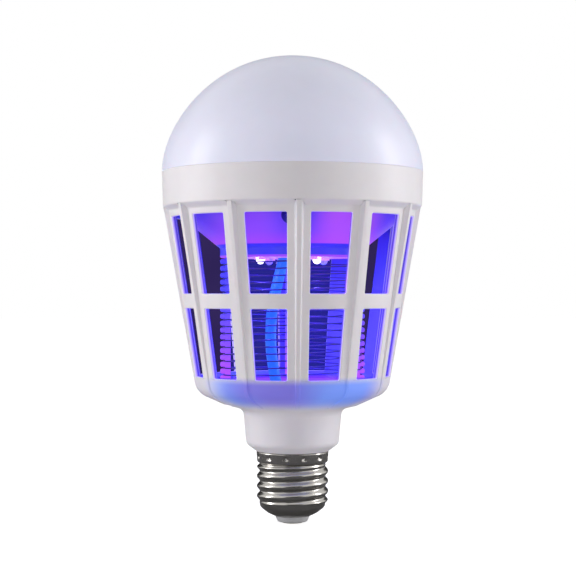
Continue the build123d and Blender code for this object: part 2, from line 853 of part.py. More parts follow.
diode_radius = 1.2
diode_length = 4.6
with BuildPart() as multiplier_diodes:
    for index in range(4):
        diode_x, diode_y = on_board(-0.2 + 0.22 * index, -0.6)
        with BuildSketch(Plane.YZ.offset(diode_x)):
            with Locations((diode_y, driver_top_z + diode_radius)):
                Circle(diode_radius)
        extrude(amount=diode_length)
finish(multiplier_diodes.part, "multiplier_diodes")

# Heat spreader on the head's rim and screw posts, under the light board
light_lead_places = [(-1.2, -1.5), (1.2, -1.5)]
board_screw_places = [around(board_screw_circle_radius, 30 + index * 120, 0)[:2] for index in range(3)]
with BuildPart() as heat_spreader:
    with BuildSketch(Plane.XY.offset(spreader_z)):
        Circle(head_rim_radius)
        with Locations((0, -1.5)):
            Circle(4.0, mode=Mode.SUBTRACT)
        with Locations(*screw_places):
            Circle(screw_shank_radius + 0.05, mode=Mode.SUBTRACT)
        with Locations(*board_screw_places):
            Circle(board_screw_shank_radius + 0.05, mode=Mode.SUBTRACT)
    extrude(amount=spreader_thickness)
finish(heat_spreader.part, "heat_spreader")

led_top_z = led_board_z + led_board_thickness
with BuildPart() as led_board:
    with BuildSketch(Plane.XY.offset(led_board_z)):
        Circle(led_board_radius)
        with Locations(*board_screw_places):
            Circle(board_screw_shank_radius + fit_clearance, mode=Mode.SUBTRACT)
    extrude(amount=led_board_thickness)
finish(led_board.part, "led_board")

with BuildPart() as light_leads:
    drill(light_lead_places, wire_radius, driver_top_z, led_board_z, Mode.ADD)
finish(light_leads.part, "light_leads")

with BuildPart() as white_leds:
    with BuildSketch(Plane.XY.offset(led_top_z)):
        for ring_radius, count in white_led_rings:
            with PolarLocations(ring_radius, count, start_angle=11.25):
                Rectangle(led_length, led_width)
    extrude(amount=led_height)
finish(white_leds.part, "white_leds")

with BuildPart() as board_screws:
    drill(board_screw_places, board_screw_shank_radius, spreader_z, led_top_z, Mode.ADD)
    drill(
        board_screw_places,
        board_screw_head_radius,
        led_top_z,
        led_top_z + board_screw_head_height,
        Mode.ADD,
    )
finish(board_screws.part, "board_screws")


def dome_half(inset):
    """Half outline of the dome from its foot to its crown, set in by inset."""
    foot = (ring_top_radius - 0.05 - inset, ring_top_z)
    crown = (0, dome_top_z - inset)
    pull = 1 - inset / ring_top_radius
    return Bezier(
        foot,
        (foot[0], ring_top_z + dome_side_pull * pull),
        (dome_crown_pull * pull, crown[1]),
        crown,
    )


# Milky dome, with a lip that stands inside the ring on the spreader's edge
with BuildPart() as diffuser_dome:
    with BuildSketch(Plane.XZ):
        with BuildLine():
            outside = dome_half(0)
            inside = dome_half(dome_wall + 1.2)
            Line(outside @ 1, inside @ 1)
            Polyline(
                inside @ 0,
                (dome_lip_bore, ring_top_z - 0.5),
                (dome_lip_bore, led_board_z),
                (dome_lip_radius, led_board_z),
                (dome_lip_radius, ring_top_z),
                outside @ 0,
            )
        make_face()
    revolve(axis=Axis.Z)
finish(diffuser_dome.part, "diffuser_dome")
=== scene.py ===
# %% [markdown]
# An insect killer light bulb: a milky dome over a ribbed white cage, with
# violet emitters and a wound grid inside, on a nickel-plated screw cap.
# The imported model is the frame: it gives every piece its place and size, in
# metres, and this script adds the shapes and finishes that the eye looks for.
# Every measure below is in millimetres unless it says otherwise, because the
# lamp's parts are thought of that way, and one factor turns them to metres.

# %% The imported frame
import bmesh
import bpy
from math import atan2, cos, degrees, pi, radians, sin, tan
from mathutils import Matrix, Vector


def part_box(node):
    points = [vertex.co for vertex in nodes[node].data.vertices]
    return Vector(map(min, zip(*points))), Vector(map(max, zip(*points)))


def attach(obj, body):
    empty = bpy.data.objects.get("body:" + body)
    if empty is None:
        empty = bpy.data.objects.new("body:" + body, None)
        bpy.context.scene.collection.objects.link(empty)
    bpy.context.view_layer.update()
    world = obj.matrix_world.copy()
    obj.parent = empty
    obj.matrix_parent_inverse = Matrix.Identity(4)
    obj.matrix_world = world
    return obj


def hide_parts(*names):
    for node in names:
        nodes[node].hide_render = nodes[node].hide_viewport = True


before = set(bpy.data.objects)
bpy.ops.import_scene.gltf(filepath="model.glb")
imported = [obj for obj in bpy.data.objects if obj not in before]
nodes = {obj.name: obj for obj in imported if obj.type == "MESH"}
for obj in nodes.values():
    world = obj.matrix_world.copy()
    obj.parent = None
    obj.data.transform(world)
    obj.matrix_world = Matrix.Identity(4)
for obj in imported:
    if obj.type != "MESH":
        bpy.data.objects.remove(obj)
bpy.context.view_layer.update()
MM = 0.001

# %% [markdown]
# The camera comes first, so that every later look is judged from the
# photograph's place. The photograph looks level, a little below the middle of
# the cage, and slightly from the left of the grid's front post. A long lens
# from half a metre keeps the ring and the bars as flat as they are there, and
# the small shift only moves the picture, as a rising front does.

# %% The camera
VIEW_SIDE = radians(-2.9)
VIEW_DISTANCE = 544.0
EYE_LEVEL = 84.7
PHOTO_WIDTH = 576
FOCAL_PIXELS, SHIFT_PIXELS = 1485, (-4.5, 3)
SENSOR_WIDTH = 36.0

eye = Vector((sin(VIEW_SIDE) * VIEW_DISTANCE, -cos(VIEW_SIDE) * VIEW_DISTANCE, EYE_LEVEL)) * MM
bpy.ops.object.camera_add(location=eye, rotation=(pi / 2, 0, VIEW_SIDE))
camera = bpy.context.object
camera.data.sensor_width = SENSOR_WIDTH
camera.data.lens = FOCAL_PIXELS / PHOTO_WIDTH * SENSOR_WIDTH
camera.data.shift_x = SHIFT_PIXELS[0] / PHOTO_WIDTH
camera.data.shift_y = SHIFT_PIXELS[1] / PHOTO_WIDTH
camera.data.clip_start = 0.01
bpy.context.scene.camera = camera
bpy.context.scene.view_settings.view_transform = "Standard"
print("lens", round(camera.data.lens, 1), "mm")

# %% [markdown]
# Three small helpers carry most of the modelling. One leaves everything
# unselected, because an operator acts on all that is selected. One selects the
# vertices, edges or faces of the piece in hand by a test of where they are,
# as an eye would pick them. One ends the work on a piece: its place goes into
# its mesh, so the object itself sits at the origin, unturned and unscaled.

# %% Helpers for modelling


def rest():
    """Go back to object mode with nothing selected."""
    if bpy.context.object and bpy.context.object.mode != "OBJECT":
        bpy.ops.object.mode_set(mode="OBJECT")
    bpy.ops.object.select_all(action="DESELECT")


def take(*pieces):
    """Select some pieces, with the last one active."""
    rest()
    for piece in pieces:
        piece.select_set(True)
    bpy.context.view_layer.objects.active = pieces[-1]


def choose(piece, kind, test):
    """In edit mode, select the parts of a kind whose middle, in mm, passes the test."""
    bpy.ops.mesh.select_mode(type=kind)
    bpy.ops.mesh.select_all(action="DESELECT")
    mesh = bmesh.from_edit_mesh(piece.data)
    parts = {"VERT": mesh.verts, "EDGE": mesh.edges, "FACE": mesh.faces}[kind]
    for part in parts:
        corners = [part.co] if kind == "VERT" else [corner.co for corner in part.verts]
        middle = sum(corners, Vector()) / len(corners) / MM
        part.select_set(test(middle))
    mesh.select_flush_mode()
    bmesh.update_edit_mesh(piece.data)


def set_down(piece, smooth_below=35):
    """Put a piece's place into its mesh, and shade it smooth but for its sharp edges."""
    take(piece)
    bpy.ops.object.transform_apply(location=True, rotation=True, scale=True)
    bpy.ops.object.shade_smooth_by_angle(angle=radians(smooth_below))
    return piece


def apply_modifier(piece, kind, **settings):
    """Add a modifier with its settings, and apply it."""
    take(piece)
    modifier = piece.modifiers.new(kind.title(), kind)
    for name, value in settings.items():
        setattr(modifier, name, value)
    bpy.ops.object.modifier_apply(modifier=modifier.name)


def rounded(corners, steps=5):
    """A profile of (radius, height) points, with an arc at each corner that names a rounding."""
    points = []
    for index, corner in enumerate(corners):
        here = Vector(corner[:2])
        if len(corner) < 3:
            points.append(here)
            continue
        before = (Vector(corners[index - 1][:2]) - here).normalized()
        after = (Vector(corners[index + 1][:2]) - here).normalized()
        half_turn = before.angle(after) / 2
        middle = here + (before + after).normalized() * corner[2] / sin(half_turn)
        start = here + before * corner[2] / tan(half_turn) - middle
        end = here + after * corner[2] / tan(half_turn) - middle
        for step in range(steps + 1):
            points.append(middle + start.slerp(end, step / steps).normalized() * corner[2])
    return points


def turned(name, profile, steps, closed=False):
    """Draw a point along a profile of (radius, height), and spin the line round the lamp's axis."""
    rest()
    bpy.ops.mesh.primitive_plane_add(size=MM)
    piece = bpy.context.object
    piece.name = name
    bpy.ops.object.mode_set(mode="EDIT")
    bpy.ops.mesh.select_mode(type="VERT")
    bpy.ops.mesh.select_all(action="SELECT")
    bpy.ops.mesh.merge(type="CENTER")
    path = [Vector((0, 0))] + [Vector(point[:2]) for point in profile]
    bpy.ops.transform.translate(value=(path[1].x * MM, 0, path[1].y * MM))
    for before, after in zip(path[1:], path[2:]):
        step = (after - before) * MM
        bpy.ops.mesh.extrude_region_move(TRANSFORM_OT_translate={"value": (step.x, 0, step.y)})
    bpy.ops.mesh.select_all(action="SELECT")
    if closed:
        bpy.ops.mesh.select_all(action="DESELECT")
        ends = [Vector((path[1].x, 0, path[1].y)), Vector((path[-1].x, 0, path[-1].y))]
        choose(piece, "VERT", lambda spot: min((spot - end).length for end in ends) < 0.001)
        bpy.ops.mesh.edge_face_add()
        bpy.ops.mesh.select_all(action="SELECT")
    bpy.ops.mesh.spin(steps=steps, angle=2 * pi, center=(0, 0, 0), axis=(0, 0, 1))
    bpy.ops.mesh.select_all(action="SELECT")
    bpy.ops.mesh.remove_doubles(threshold=0.002 * MM)
    bpy.ops.mesh.normals_make_consistent(inside=False)
    rest()
    print(name, len(piece.data.vertices), "vertices")
    return piece


def repeat_round(piece, count, first=0.0):
    """Copy a piece round the lamp's axis, each copy with its own mesh, and join them as one."""
    copies = []
    for index in range(count):
        take(piece)
        bpy.ops.object.duplicate(linked=False)
        copy = bpy.context.object
        copy.rotation_euler[2] = radians(first + index * 360 / count)
        copies.append(copy)
    bpy.data.objects.remove(piece)
    take(*copies)
    bpy.ops.object.join()
    bpy.ops.object.transform_apply(location=True, rotation=True, scale=True)
    return bpy.context.object


# %% [markdown]
# The cage is one white moulding: a ring that takes the dome, twelve ribbed
# posts, two rows of windows and a bowl that runs down to the neck. It could be
# drawn as one surface and folded round, but the mould maker's own order is
# clearer: turn the plain wall, lay the ribs on it, cut the windows through,
# and round every edge a little, as a tool does, so that each one takes a line
# of light. Its levels repeat the frame's.

# %% The cage's levels and slopes
NECK_FOOT, BOWL_FOOT, SILL, BAR_FOOT, BAR_TOP, TOP_BAR = 26.4, 41.0, 53.86, 78.5, 83.76, 111.51
RAIL, RING_TOP = 115.51, 128.21
RAIL_RADIUS, RING_TOP_RADIUS, RING_BORE = 47.238, 47.704, 45.038
NECK_RADIUS, NECK_FOOT_RADIUS = 17.889, 16.95
BOWL_CORNER, BOWL_BREAK = (35.1, 47.71), (25.3, 43.35)
LEAN = radians(10.15)
FOOT_RECESS, HEAD_RECESS, WALL = 0.45, 2.0, 2.0
POSTS = 12


def crest_radius(height):
    """Radius of the ribs' crests at a height."""
    return RAIL_RADIUS - (RAIL - height) * tan(LEAN)


def wall_radius(height):
    """Outer radius of the wall between the ribs, which stand out further towards the ring."""
    share = max(0.0, (height - SILL) / (TOP_BAR - SILL))
    return crest_radius(height) - FOOT_RECESS - share * (HEAD_RECESS - FOOT_RECESS)


print("crest radius at the sill", round(crest_radius(SILL), 2), "mm")

# %% The cage's turned wall
FACETS = 72
wall_profile = rounded([
    (RING_BORE, RING_TOP),
    (RING_TOP_RADIUS, RING_TOP),
    (RAIL_RADIUS, RAIL),
    (wall_radius(RAIL - 1.7), RAIL - 1.7),
    (wall_radius(SILL), SILL, 12.0),
    (34.75, 48.05, 6.0),
    (BOWL_BREAK[0], BOWL_BREAK[1] + 0.4, 9.0),
    (NECK_RADIUS + 0.2, BOWL_FOOT + 0.45, 2.8),
    (NECK_FOOT_RADIUS, 29.0, 2.6),
    (13.4, NECK_FOOT, 0.3),
    (12.6, NECK_FOOT),
    (12.6, NECK_FOOT - 3.2),
    (10.85, NECK_FOOT - 3.2),
    (10.85, NECK_FOOT + 1.5),
    (14.6, NECK_FOOT + 4.3),
    (15.9, 42.6),
    (29.5, 48.4),
    (29.5, 50.02),
    (wall_radius(50.02) - WALL, 50.02),
    (wall_radius(SILL) - WALL, SILL),
    (wall_radius(RAIL) - WALL, RAIL),
    (RING_BORE, RAIL),
], steps=6)
cage = turned("cage_moulding", wall_profile, FACETS, closed=True)
cage.rotation_euler[2] = radians(180 / FACETS)
set_down(cage)

# %% [markdown]
# A rib is a low ridge with a narrow flat crest and sloping flanks. It runs
# down the post from the ring, turns under the bowl and dies out at the neck.
# One cross-section is drawn as a quad, extruded down the post, spun round the
# bowl's corner and extruded again along its floor. It narrows on its way down,
# in stages that get shorter, so that no face there is long and thin.

# %% One rib and its copies
CREST_TOP, CREST_FOOT = 1.75, 1.45
RIB_DEPTH, FLANK = 2.35, 0.85
POST_STAGES = (0.0, 0.25, 0.5, 0.7, 0.85, 0.93, 1.0)
BOWL_TURN = 7.0
corner, floor_break = Vector(BOWL_CORNER), Vector(BOWL_BREAK)
floor_angle = atan2(corner.y - floor_break.y, corner.x - floor_break.x)
turn = pi / 2 - LEAN - floor_angle
reach = BOWL_TURN * tan(turn / 2)
along_post = Vector((-sin(LEAN), -cos(LEAN)))
along_floor = Vector((-cos(floor_angle), -sin(floor_angle)))
arc_start = corner - along_post * reach
arc_middle = arc_start - Vector((cos(LEAN), -sin(LEAN))) * BOWL_TURN
head = Vector((crest_radius(RAIL - 0.1) - 0.05, RAIL - 0.1))
post_run = arc_start - head
floor_stops = [corner + along_floor * reach, floor_break, Vector((NECK_RADIUS + 2.4, BOWL_FOOT + 1.45))]

rest()
bpy.ops.mesh.primitive_plane_add(size=1 * MM, location=(head.x * MM, 0, head.y * MM))
rib = bpy.context.object
bpy.ops.object.transform_apply(location=True)
bpy.ops.object.mode_set(mode="EDIT")
for vertex_side, half, depth in ((1, CREST_TOP / 2, 0.0), (-1, CREST_TOP / 2 + FLANK, -RIB_DEPTH)):
    choose(rib, "VERT", lambda spot: (spot.x - head.x) * vertex_side > 0.1)
    bpy.ops.transform.resize(value=(1, half * 2, 1), center_override=(0, 0, 0))
    bpy.ops.transform.translate(value=((depth - 0.5 * vertex_side) * MM, 0, 0))
bpy.ops.mesh.select_mode(type="FACE")
bpy.ops.mesh.select_all(action="SELECT")
for before, after in zip(POST_STAGES, POST_STAGES[1:]):
    step = post_run * (after - before) * MM
    bpy.ops.mesh.extrude_region_move(TRANSFORM_OT_translate={"value": (step.x, 0, step.y)})
    crest_before, crest_after = [CREST_TOP + stage * (CREST_FOOT - CREST_TOP) for stage in (before, after)]
    narrowing = crest_after / crest_before
    bpy.ops.transform.resize(value=(1, narrowing, 1), center_override=(0, 0, 0))
bpy.ops.transform.rotate(
    value=-LEAN, orient_axis="Y", center_override=(arc_start.x * MM, 0, arc_start.y * MM)
)
bpy.ops.mesh.spin(
    steps=6, angle=turn, center=(arc_middle.x * MM, 0, arc_middle.y * MM), axis=(0, -1, 0)
)
for before, after in zip(floor_stops, floor_stops[1:]):
    run = (after - before) * MM
    bpy.ops.mesh.extrude_region_move(TRANSFORM_OT_translate={"value": (run.x, 0, run.y)})
bpy.ops.mesh.select_all(action="SELECT")
bpy.ops.mesh.normals_make_consistent(inside=False)
rest()
low, high = [Vector(c) / MM for c in (rib.bound_box[0], rib.bound_box[6])]
print("rib reaches from", [round(v, 1) for v in low], "to", [round(v, 1) for v in high])
ribs = repeat_round(rib, POSTS)

# %% [markdown]
# The windows are cut with one pair of tapered blocks with rounded corners,
# copied into the twelve bays. The bevel at the end is the small rounding that
# a steel mould leaves, and it follows only the edges that are really sharp.

# %% Window cutters
POST_FOOT_WIDTH, POST_TOP_WIDTH = 7.4, 8.2
WINDOW_ROUND = 0.5
CUT_FROM, CUT_TO = 25.0, 60.0


def half_window(height):
    """Half the width of a window at a height."""
    share = (height - SILL) / (TOP_BAR - SILL)
    post = POST_FOOT_WIDTH + share * (POST_TOP_WIDTH - POST_FOOT_WIDTH)
    return wall_radius(height) * sin(pi / POSTS) - post / 2


cutters = []
for low_edge, high_edge in ((SILL, BAR_FOOT), (BAR_TOP, TOP_BAR)):
    rest()
    middle = ((CUT_FROM + CUT_TO) / 2 * MM, 0, (low_edge + high_edge) / 2 * MM)
    size = ((CUT_TO - CUT_FROM) * MM, 2 * half_window(low_edge) * MM, (high_edge - low_edge) * MM)
    bpy.ops.mesh.primitive_cube_add(size=1, location=middle, scale=size)
    cutter = bpy.context.object
    bpy.ops.object.transform_apply(location=True, scale=True)
    bpy.ops.object.mode_set(mode="EDIT")
    choose(cutter, "VERT", lambda spot: spot.z > high_edge - 1)
    widening = half_window(high_edge) / half_window(low_edge)
    bpy.ops.transform.resize(value=(1, widening, 1), center_override=(0, 0, 0))
    choose(cutter, "EDGE", lambda spot: abs(spot.x - (CUT_FROM + CUT_TO) / 2) < 1)
    bpy.ops.mesh.bevel(offset=WINDOW_ROUND * MM, segments=3, affect="EDGES")
    rest()
    cutters.append(cutter)
take(*cutters)
bpy.ops.object.join()
windows = repeat_round(bpy.context.object, POSTS, first=180 / POSTS)
print("windows", POSTS * len(cutters))

# %% Ribs on, windows out, edges rounded
EDGE_ROUND, RIB_ROUND, RIB_REACH, SHARP = 0.45, 0.2, 3.2, 32
apply_modifier(cage, "BOOLEAN", operation="UNION", object=ribs, solver="EXACT")
print("with its ribs", len(cage.data.vertices), "vertices")
apply_modifier(cage, "BOOLEAN", operation="DIFFERENCE", object=windows, solver="EXACT")
for spent in (ribs, windows):
    bpy.data.objects.remove(spent)
take(cage)
bpy.ops.object.mode_set(mode="EDIT")
bpy.ops.mesh.select_all(action="SELECT")
bpy.ops.mesh.remove_doubles(threshold=0.02 * MM)
print("with its windows", len(cage.data.vertices), "vertices")

# Every sharp edge is marked for rounding, and those of the ribs less than the
# rest, because a flank at the cage's foot is only half a millimetre wide.
bpy.ops.mesh.select_mode(type="EDGE")
bpy.ops.mesh.select_all(action="DESELECT")
bpy.ops.mesh.edges_select_sharp(sharpness=radians(SHARP))
bpy.ops.transform.edge_bevelweight(value=1.0)
mesh = bmesh.from_edit_mesh(cage.data)
for edge in mesh.edges:
    middle = (edge.verts[0].co + edge.verts[1].co) / 2 / MM
    off_post = (degrees(atan2(middle.y, middle.x)) + 180 / POSTS) % (360 / POSTS) - 180 / POSTS
    if edge.select and abs(middle.xy.length * sin(radians(off_post))) > RIB_REACH:
        edge.select_set(False)
bmesh.update_edit_mesh(cage.data)
bpy.ops.transform.edge_bevelweight(value=RIB_ROUND / EDGE_ROUND - 1.0)
rest()
apply_modifier(
    cage, "BEVEL", width=EDGE_ROUND * MM, segments=3, limit_method="WEIGHT",
    use_clamp_overlap=False, miter_outer="MITER_SHARP",
)
set_down(cage, 40)
apply_modifier(cage, "WEIGHTED_NORMAL", mode="FACE_AREA", keep_sharp=True)
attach(cage, "root")
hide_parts("cage_bowl", "cage_posts", "cage_bars", "cage_ring")
print("finished cage", len(cage.data.vertices), "vertices")

# %% [markdown]
# The cap is one piece of thin brass sheet, rolled with a 27 mm Edison thread
# and nickel plated. A turned blank with many rings stands for the sheet, a
# helix is painted on it as weights, and the rolling pushes the sheet out
# where the paint is. The same trick in reverse punches the row of dimples
# that lock the collar to the plastic neck.

# %% The screw cap
CUP_FOOT, THREAD_FOOT, COLLAR_FOOT = 2.6, 7.0, 22.4
ROOT_RADIUS, CREST_RADIUS, COLLAR_RADIUS = 12.0, 13.1, 13.2
PITCH = 3.629
CAP_STEPS, RING_SPACING, SHEET = 180, 0.24, 0.35

cup = rounded([
    (6.6, CUP_FOOT), (9.2, 3.85, 5.0), (11.9, 6.0, 2.0), (ROOT_RADIUS, THREAD_FOOT + 0.1),
], steps=6)
ring_count = int((COLLAR_FOOT - 0.7 - THREAD_FOOT) / RING_SPACING)
shaft = [(ROOT_RADIUS, THREAD_FOOT + 0.1 + index * RING_SPACING) for index in range(1, ring_count)]
collar = rounded([
    (ROOT_RADIUS, COLLAR_FOOT - 0.7),
    (ROOT_RADIUS + 0.1, COLLAR_FOOT - 0.5, 0.3),
    (COLLAR_RADIUS - 0.3, COLLAR_FOOT + 0.1, 0.3),
    (COLLAR_RADIUS - 0.25, COLLAR_FOOT + 0.6),
], steps=3)
collar_rings = [
    (COLLAR_RADIUS - 0.25 + index * 0.018, COLLAR_FOOT + 0.6 + index * 0.2) for index in range(1, 15)
]
lip = [(COLLAR_RADIUS, 25.95), (COLLAR_RADIUS - 0.1, 26.2), (COLLAR_RADIUS - 0.5, 26.4)]
cap = turned("cap_shell", cup + shaft + collar + collar_rings + lip, CAP_STEPS)

# %% Rolling the thread and punching the dimples
ROLL_FADE = 1.6
DIMPLES, DIMPLE_TURN, DIMPLE_HEIGHT, DIMPLE_RADIUS, DIMPLE_DEPTH = 12, 16.4, 24.4, 0.85, 0.55


def rolled(spot):
    """How far the thread stands out at a spot, from 0 in the root to 1 on the crest."""
    if not THREAD_FOOT < spot.z < COLLAR_FOOT - 0.4:
        return 0.0
    turns = atan2(spot.y, spot.x) / (2 * pi)
    phase = (spot.z - THREAD_FOOT) / PITCH + 0.7 - turns
    wave = 0.5 + 0.5 * cos(2 * pi * phase)
    fade = min(1.0, (spot.z - THREAD_FOOT) / ROLL_FADE, (COLLAR_FOOT - 0.4 - spot.z) / ROLL_FADE)
    return wave ** 0.8 * fade * fade * (3 - 2 * fade)


def punched(spot):
    """How deep the sheet is pressed in at a spot, from 0 to 1 at a dimple's middle."""
    step = 360 / DIMPLES
    away = (degrees(atan2(spot.y, spot.x)) - DIMPLE_TURN + step / 2) % step - step / 2
    across = radians(away) * COLLAR_RADIUS
    share = (across ** 2 + (spot.z - DIMPLE_HEIGHT) ** 2) ** 0.5 / DIMPLE_RADIUS
    return max(0.0, 1 - share * share)


for paint, strength in ((rolled, (CREST_RADIUS - ROOT_RADIUS) * MM), (punched, -DIMPLE_DEPTH * MM)):
    group = cap.vertex_groups.new(name=paint.__name__)
    for vertex in cap.data.vertices:
        group.add([vertex.index], paint(vertex.co / MM), "REPLACE")
    apply_modifier(
        cap, "DISPLACE", direction="NORMAL", mid_level=0.0, strength=strength, vertex_group=group.name
    )
apply_modifier(cap, "SOLIDIFY", thickness=SHEET * MM, offset=-1.0)
set_down(cap, 60)
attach(cap, "root")
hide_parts("screw_shell")
print("cap radius", round(max(cap.dimensions.x, cap.dimensions.y) / 2 / MM, 2), "mm")

# %% [markdown]
# The two grid wires are round and run in true helices, one starting half a
# turn after the other. A small circle drawn at the grid's radius and screwed
# round the axis makes each of them in one step.

# %% The grid wires
GRID_RADIUS, WIRE_RADIUS = 25.31, 0.25
GRID_LEAD, GRID_TURNS = 5.0, 8.25
WIRE_STEPS = 40
for node_name, start_turn in (("grid_wire_live", 0), ("grid_wire_return", 180)):
    rest()
    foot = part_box(node_name)[0].z + 0.25 * MM
    bpy.ops.mesh.primitive_circle_add(
        vertices=8, radius=WIRE_RADIUS * MM, location=(GRID_RADIUS * MM, 0, foot), rotation=(pi / 2, 0, 0)
    )
    wire = bpy.context.object
    wire.name = node_name + "_round"
    bpy.ops.object.transform_apply(location=True, rotation=True)
    apply_modifier(
        wire, "SCREW", axis="Z", angle=2 * pi * GRID_TURNS, screw_offset=GRID_LEAD * GRID_TURNS * MM,
        iterations=1, steps=int(WIRE_STEPS * GRID_TURNS), render_steps=int(WIRE_STEPS * GRID_TURNS),
    )
    bpy.ops.object.mode_set(mode="EDIT")
    bpy.ops.mesh.select_all(action="SELECT")
    bpy.ops.mesh.normals_make_consistent(inside=False)
    rest()
    wire.rotation_euler[2] = radians(start_turn)
    set_down(wire, 60)
    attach(wire, "root")
    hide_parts(node_name)
    print(wire.name, "is", round(wire.dimensions.z / MM, 2), "mm tall,", len(wire.data.polygons), "faces")

# %% [markdown]
# Under the cap a ring of grey ceramic keeps the centre contact apart from the
# shell. Only its tapered end shows, below the shell's rim.

# %% The insulator under the cap
insulator = turned("insulator_ring", rounded([
    (3.9, 0.5), (5.35, 0.5, 0.2), (5.75, 1.1, 0.4), (6.4, 2.7), (6.3, 3.2), (6.3, 6.0), (3.9, 6.0),
], steps=4), 72, closed=True)
set_down(insulator)
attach(insulator, "root")
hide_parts("base_insulator")
print("insulator", round(insulator.dimensions.x / MM, 2), "mm across")

# %% [markdown]
# The four grid posts are combs. Every pass of wire drops into a gap between
# two round-nosed teeth, and lit from inside the teeth look like beads. One
# tooth is modelled and copied up the post's spine, once for each gap.

# %% The grid posts
SPINE_FOOT, SPINE_TOP, SPINE_INNER = 51.72, 98.11, 22.7
TOOTH_PITCH, TOOTH_HEIGHT, TOOTH_TIP, TOOTH_ROOT = 2.5, 1.75, 26.45, 24.4
POST_WIDTH = 3.1
TEETH = 18


def block(low, high, edge):
    """A block between two corners in mm, with all its edges rounded."""
    rest()
    low, high = Vector(low), Vector(high)
    bpy.ops.mesh.primitive_cube_add(size=1, location=(low + high) / 2 * MM, scale=(high - low) * MM)
    piece = bpy.context.object
    bpy.ops.object.transform_apply(location=True, scale=True)
    bpy.ops.object.mode_set(mode="EDIT")
    bpy.ops.mesh.select_all(action="SELECT")
    bpy.ops.mesh.bevel(offset=edge * MM, segments=3, affect="EDGES")
    rest()
    return piece


for index in range(4):
    node_name = f"grid_post_{index + 1}"
    first_gap = 54.2 + index % 2 * TOOTH_PITCH / 2
    spine = block(
        (SPINE_INNER, -POST_WIDTH / 2, SPINE_FOOT),
        (TOOTH_ROOT + 0.3, POST_WIDTH / 2, SPINE_TOP), 0.3,
    )
    tooth_foot = first_gap - (TOOTH_PITCH + TOOTH_HEIGHT) / 2
    tooth = block(
        (SPINE_INNER + 0.5, -POST_WIDTH / 2 + 0.1, tooth_foot),
        (TOOTH_TIP, POST_WIDTH / 2 - 0.1, tooth_foot + TOOTH_HEIGHT), 0.6,
    )
    apply_modifier(
        tooth, "ARRAY", count=TEETH - index % 2, use_relative_offset=False, use_constant_offset=True,
        constant_offset_displace=(0, 0, TOOTH_PITCH * MM),
    )
    apply_modifier(spine, "BOOLEAN", operation="UNION", object=tooth, solver="EXACT")
    bpy.data.objects.remove(tooth)
    spine.name = node_name + "_comb"
    spine.rotation_euler[2] = radians(90 * index)
    set_down(spine, 40)
    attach(spine, "root")
    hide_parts(node_name)
print("post comb", len(spine.data.vertices), "vertices")

# %% [markdown]
# Each violet emitter is a small square package with a round silicone lens. The
# lens is a dome on a flange, turned about its own axis and then moved to its
# place on the emitters' circle.

# %% The violet emitters' lenses
EMITTER_CIRCLE, EMITTER_TURN, EMITTERS = 14.514, -55.8, 4
LENS_RADIUS, LENS_MIDDLE = 1.5, 95.9
dome_line = [
    (LENS_RADIUS * sin(radians(angle)), LENS_MIDDLE - LENS_RADIUS * cos(radians(angle)))
    for angle in range(0, 91, 15)
]
lenses = []
for index in range(EMITTERS):
    lens_piece = turned(f"emitter_lens_{index + 1}", dome_line + [
        (LENS_RADIUS, 96.45), (1.65, 96.5), (1.65, 96.8), (0, 96.8),
    ], 32)
    turn_to = radians(EMITTER_TURN + 360 / EMITTERS * index)
    lens_piece.location = (EMITTER_CIRCLE * cos(turn_to) * MM, EMITTER_CIRCLE * sin(turn_to) * MM, 0)
    lenses.append(lens_piece)
take(*lenses)
bpy.ops.object.join()
emitter_lenses = bpy.context.object
emitter_lenses.name = "emitter_lenses"
set_down(emitter_lenses, 50)
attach(emitter_lenses, "root")
print("lenses", len(emitter_lenses.data.vertices), "vertices")

# %% [markdown]
# Every finish starts from what the real surface is and how it was made. Its
# colour is written as it would be read from a colour card, and one function
# turns that to the linear numbers that light is reckoned in. One more function
# adds a node with its settings and links, and one joins a node to the shader.
# Another gives a finish its fine relief: a grain of a real size in millimetres
# that tilts the surface a little, and lets colour and gloss wander a little.

# %% Helpers for finishes


def linear(card):
    """The linear colour of an sRGB hex value."""
    parts = [int(card[place:place + 2], 16) / 255 for place in (1, 3, 5)]
    return [p / 12.92 if p <= 0.04045 else ((p + 0.055) / 1.055) ** 2.4 for p in parts] + [1.0]


def node(finish, kind, inputs=None, **settings):
    """Add a node to a finish, with settings, and inputs that are values or (node, output) links."""
    added = finish.node_tree.nodes.new("ShaderNode" + kind)
    for name, value in settings.items():
        setattr(added, name, value)
    for socket, value in (inputs or {}).items():
        if isinstance(value, tuple) and isinstance(value[0], bpy.types.Node):
            finish.node_tree.links.new(value[0].outputs[value[1]], added.inputs[socket])
        else:
            added.inputs[socket].default_value = value
    return added


def new_finish(name, card, roughness, metallic=0.0, **sockets):
    """A finish of one shader, with its plain colour and gloss."""
    finish = bpy.data.materials.new(name)
    finish.use_nodes = True
    shader = finish.node_tree.nodes["Principled BSDF"]
    shader.inputs["Base Color"].default_value = linear(card)
    shader.inputs["Roughness"].default_value = roughness
    shader.inputs["Metallic"].default_value = metallic
    for socket, value in sockets.items():
        shader.inputs[socket.replace("_", " ")].default_value = value
    return finish


def joined(finish, source, output, socket):
    """Let a node's output drive a socket of the finish's shader."""
    shader = finish.node_tree.nodes["Principled BSDF"]
    finish.node_tree.links.new(source.outputs[output], shader.inputs[socket])


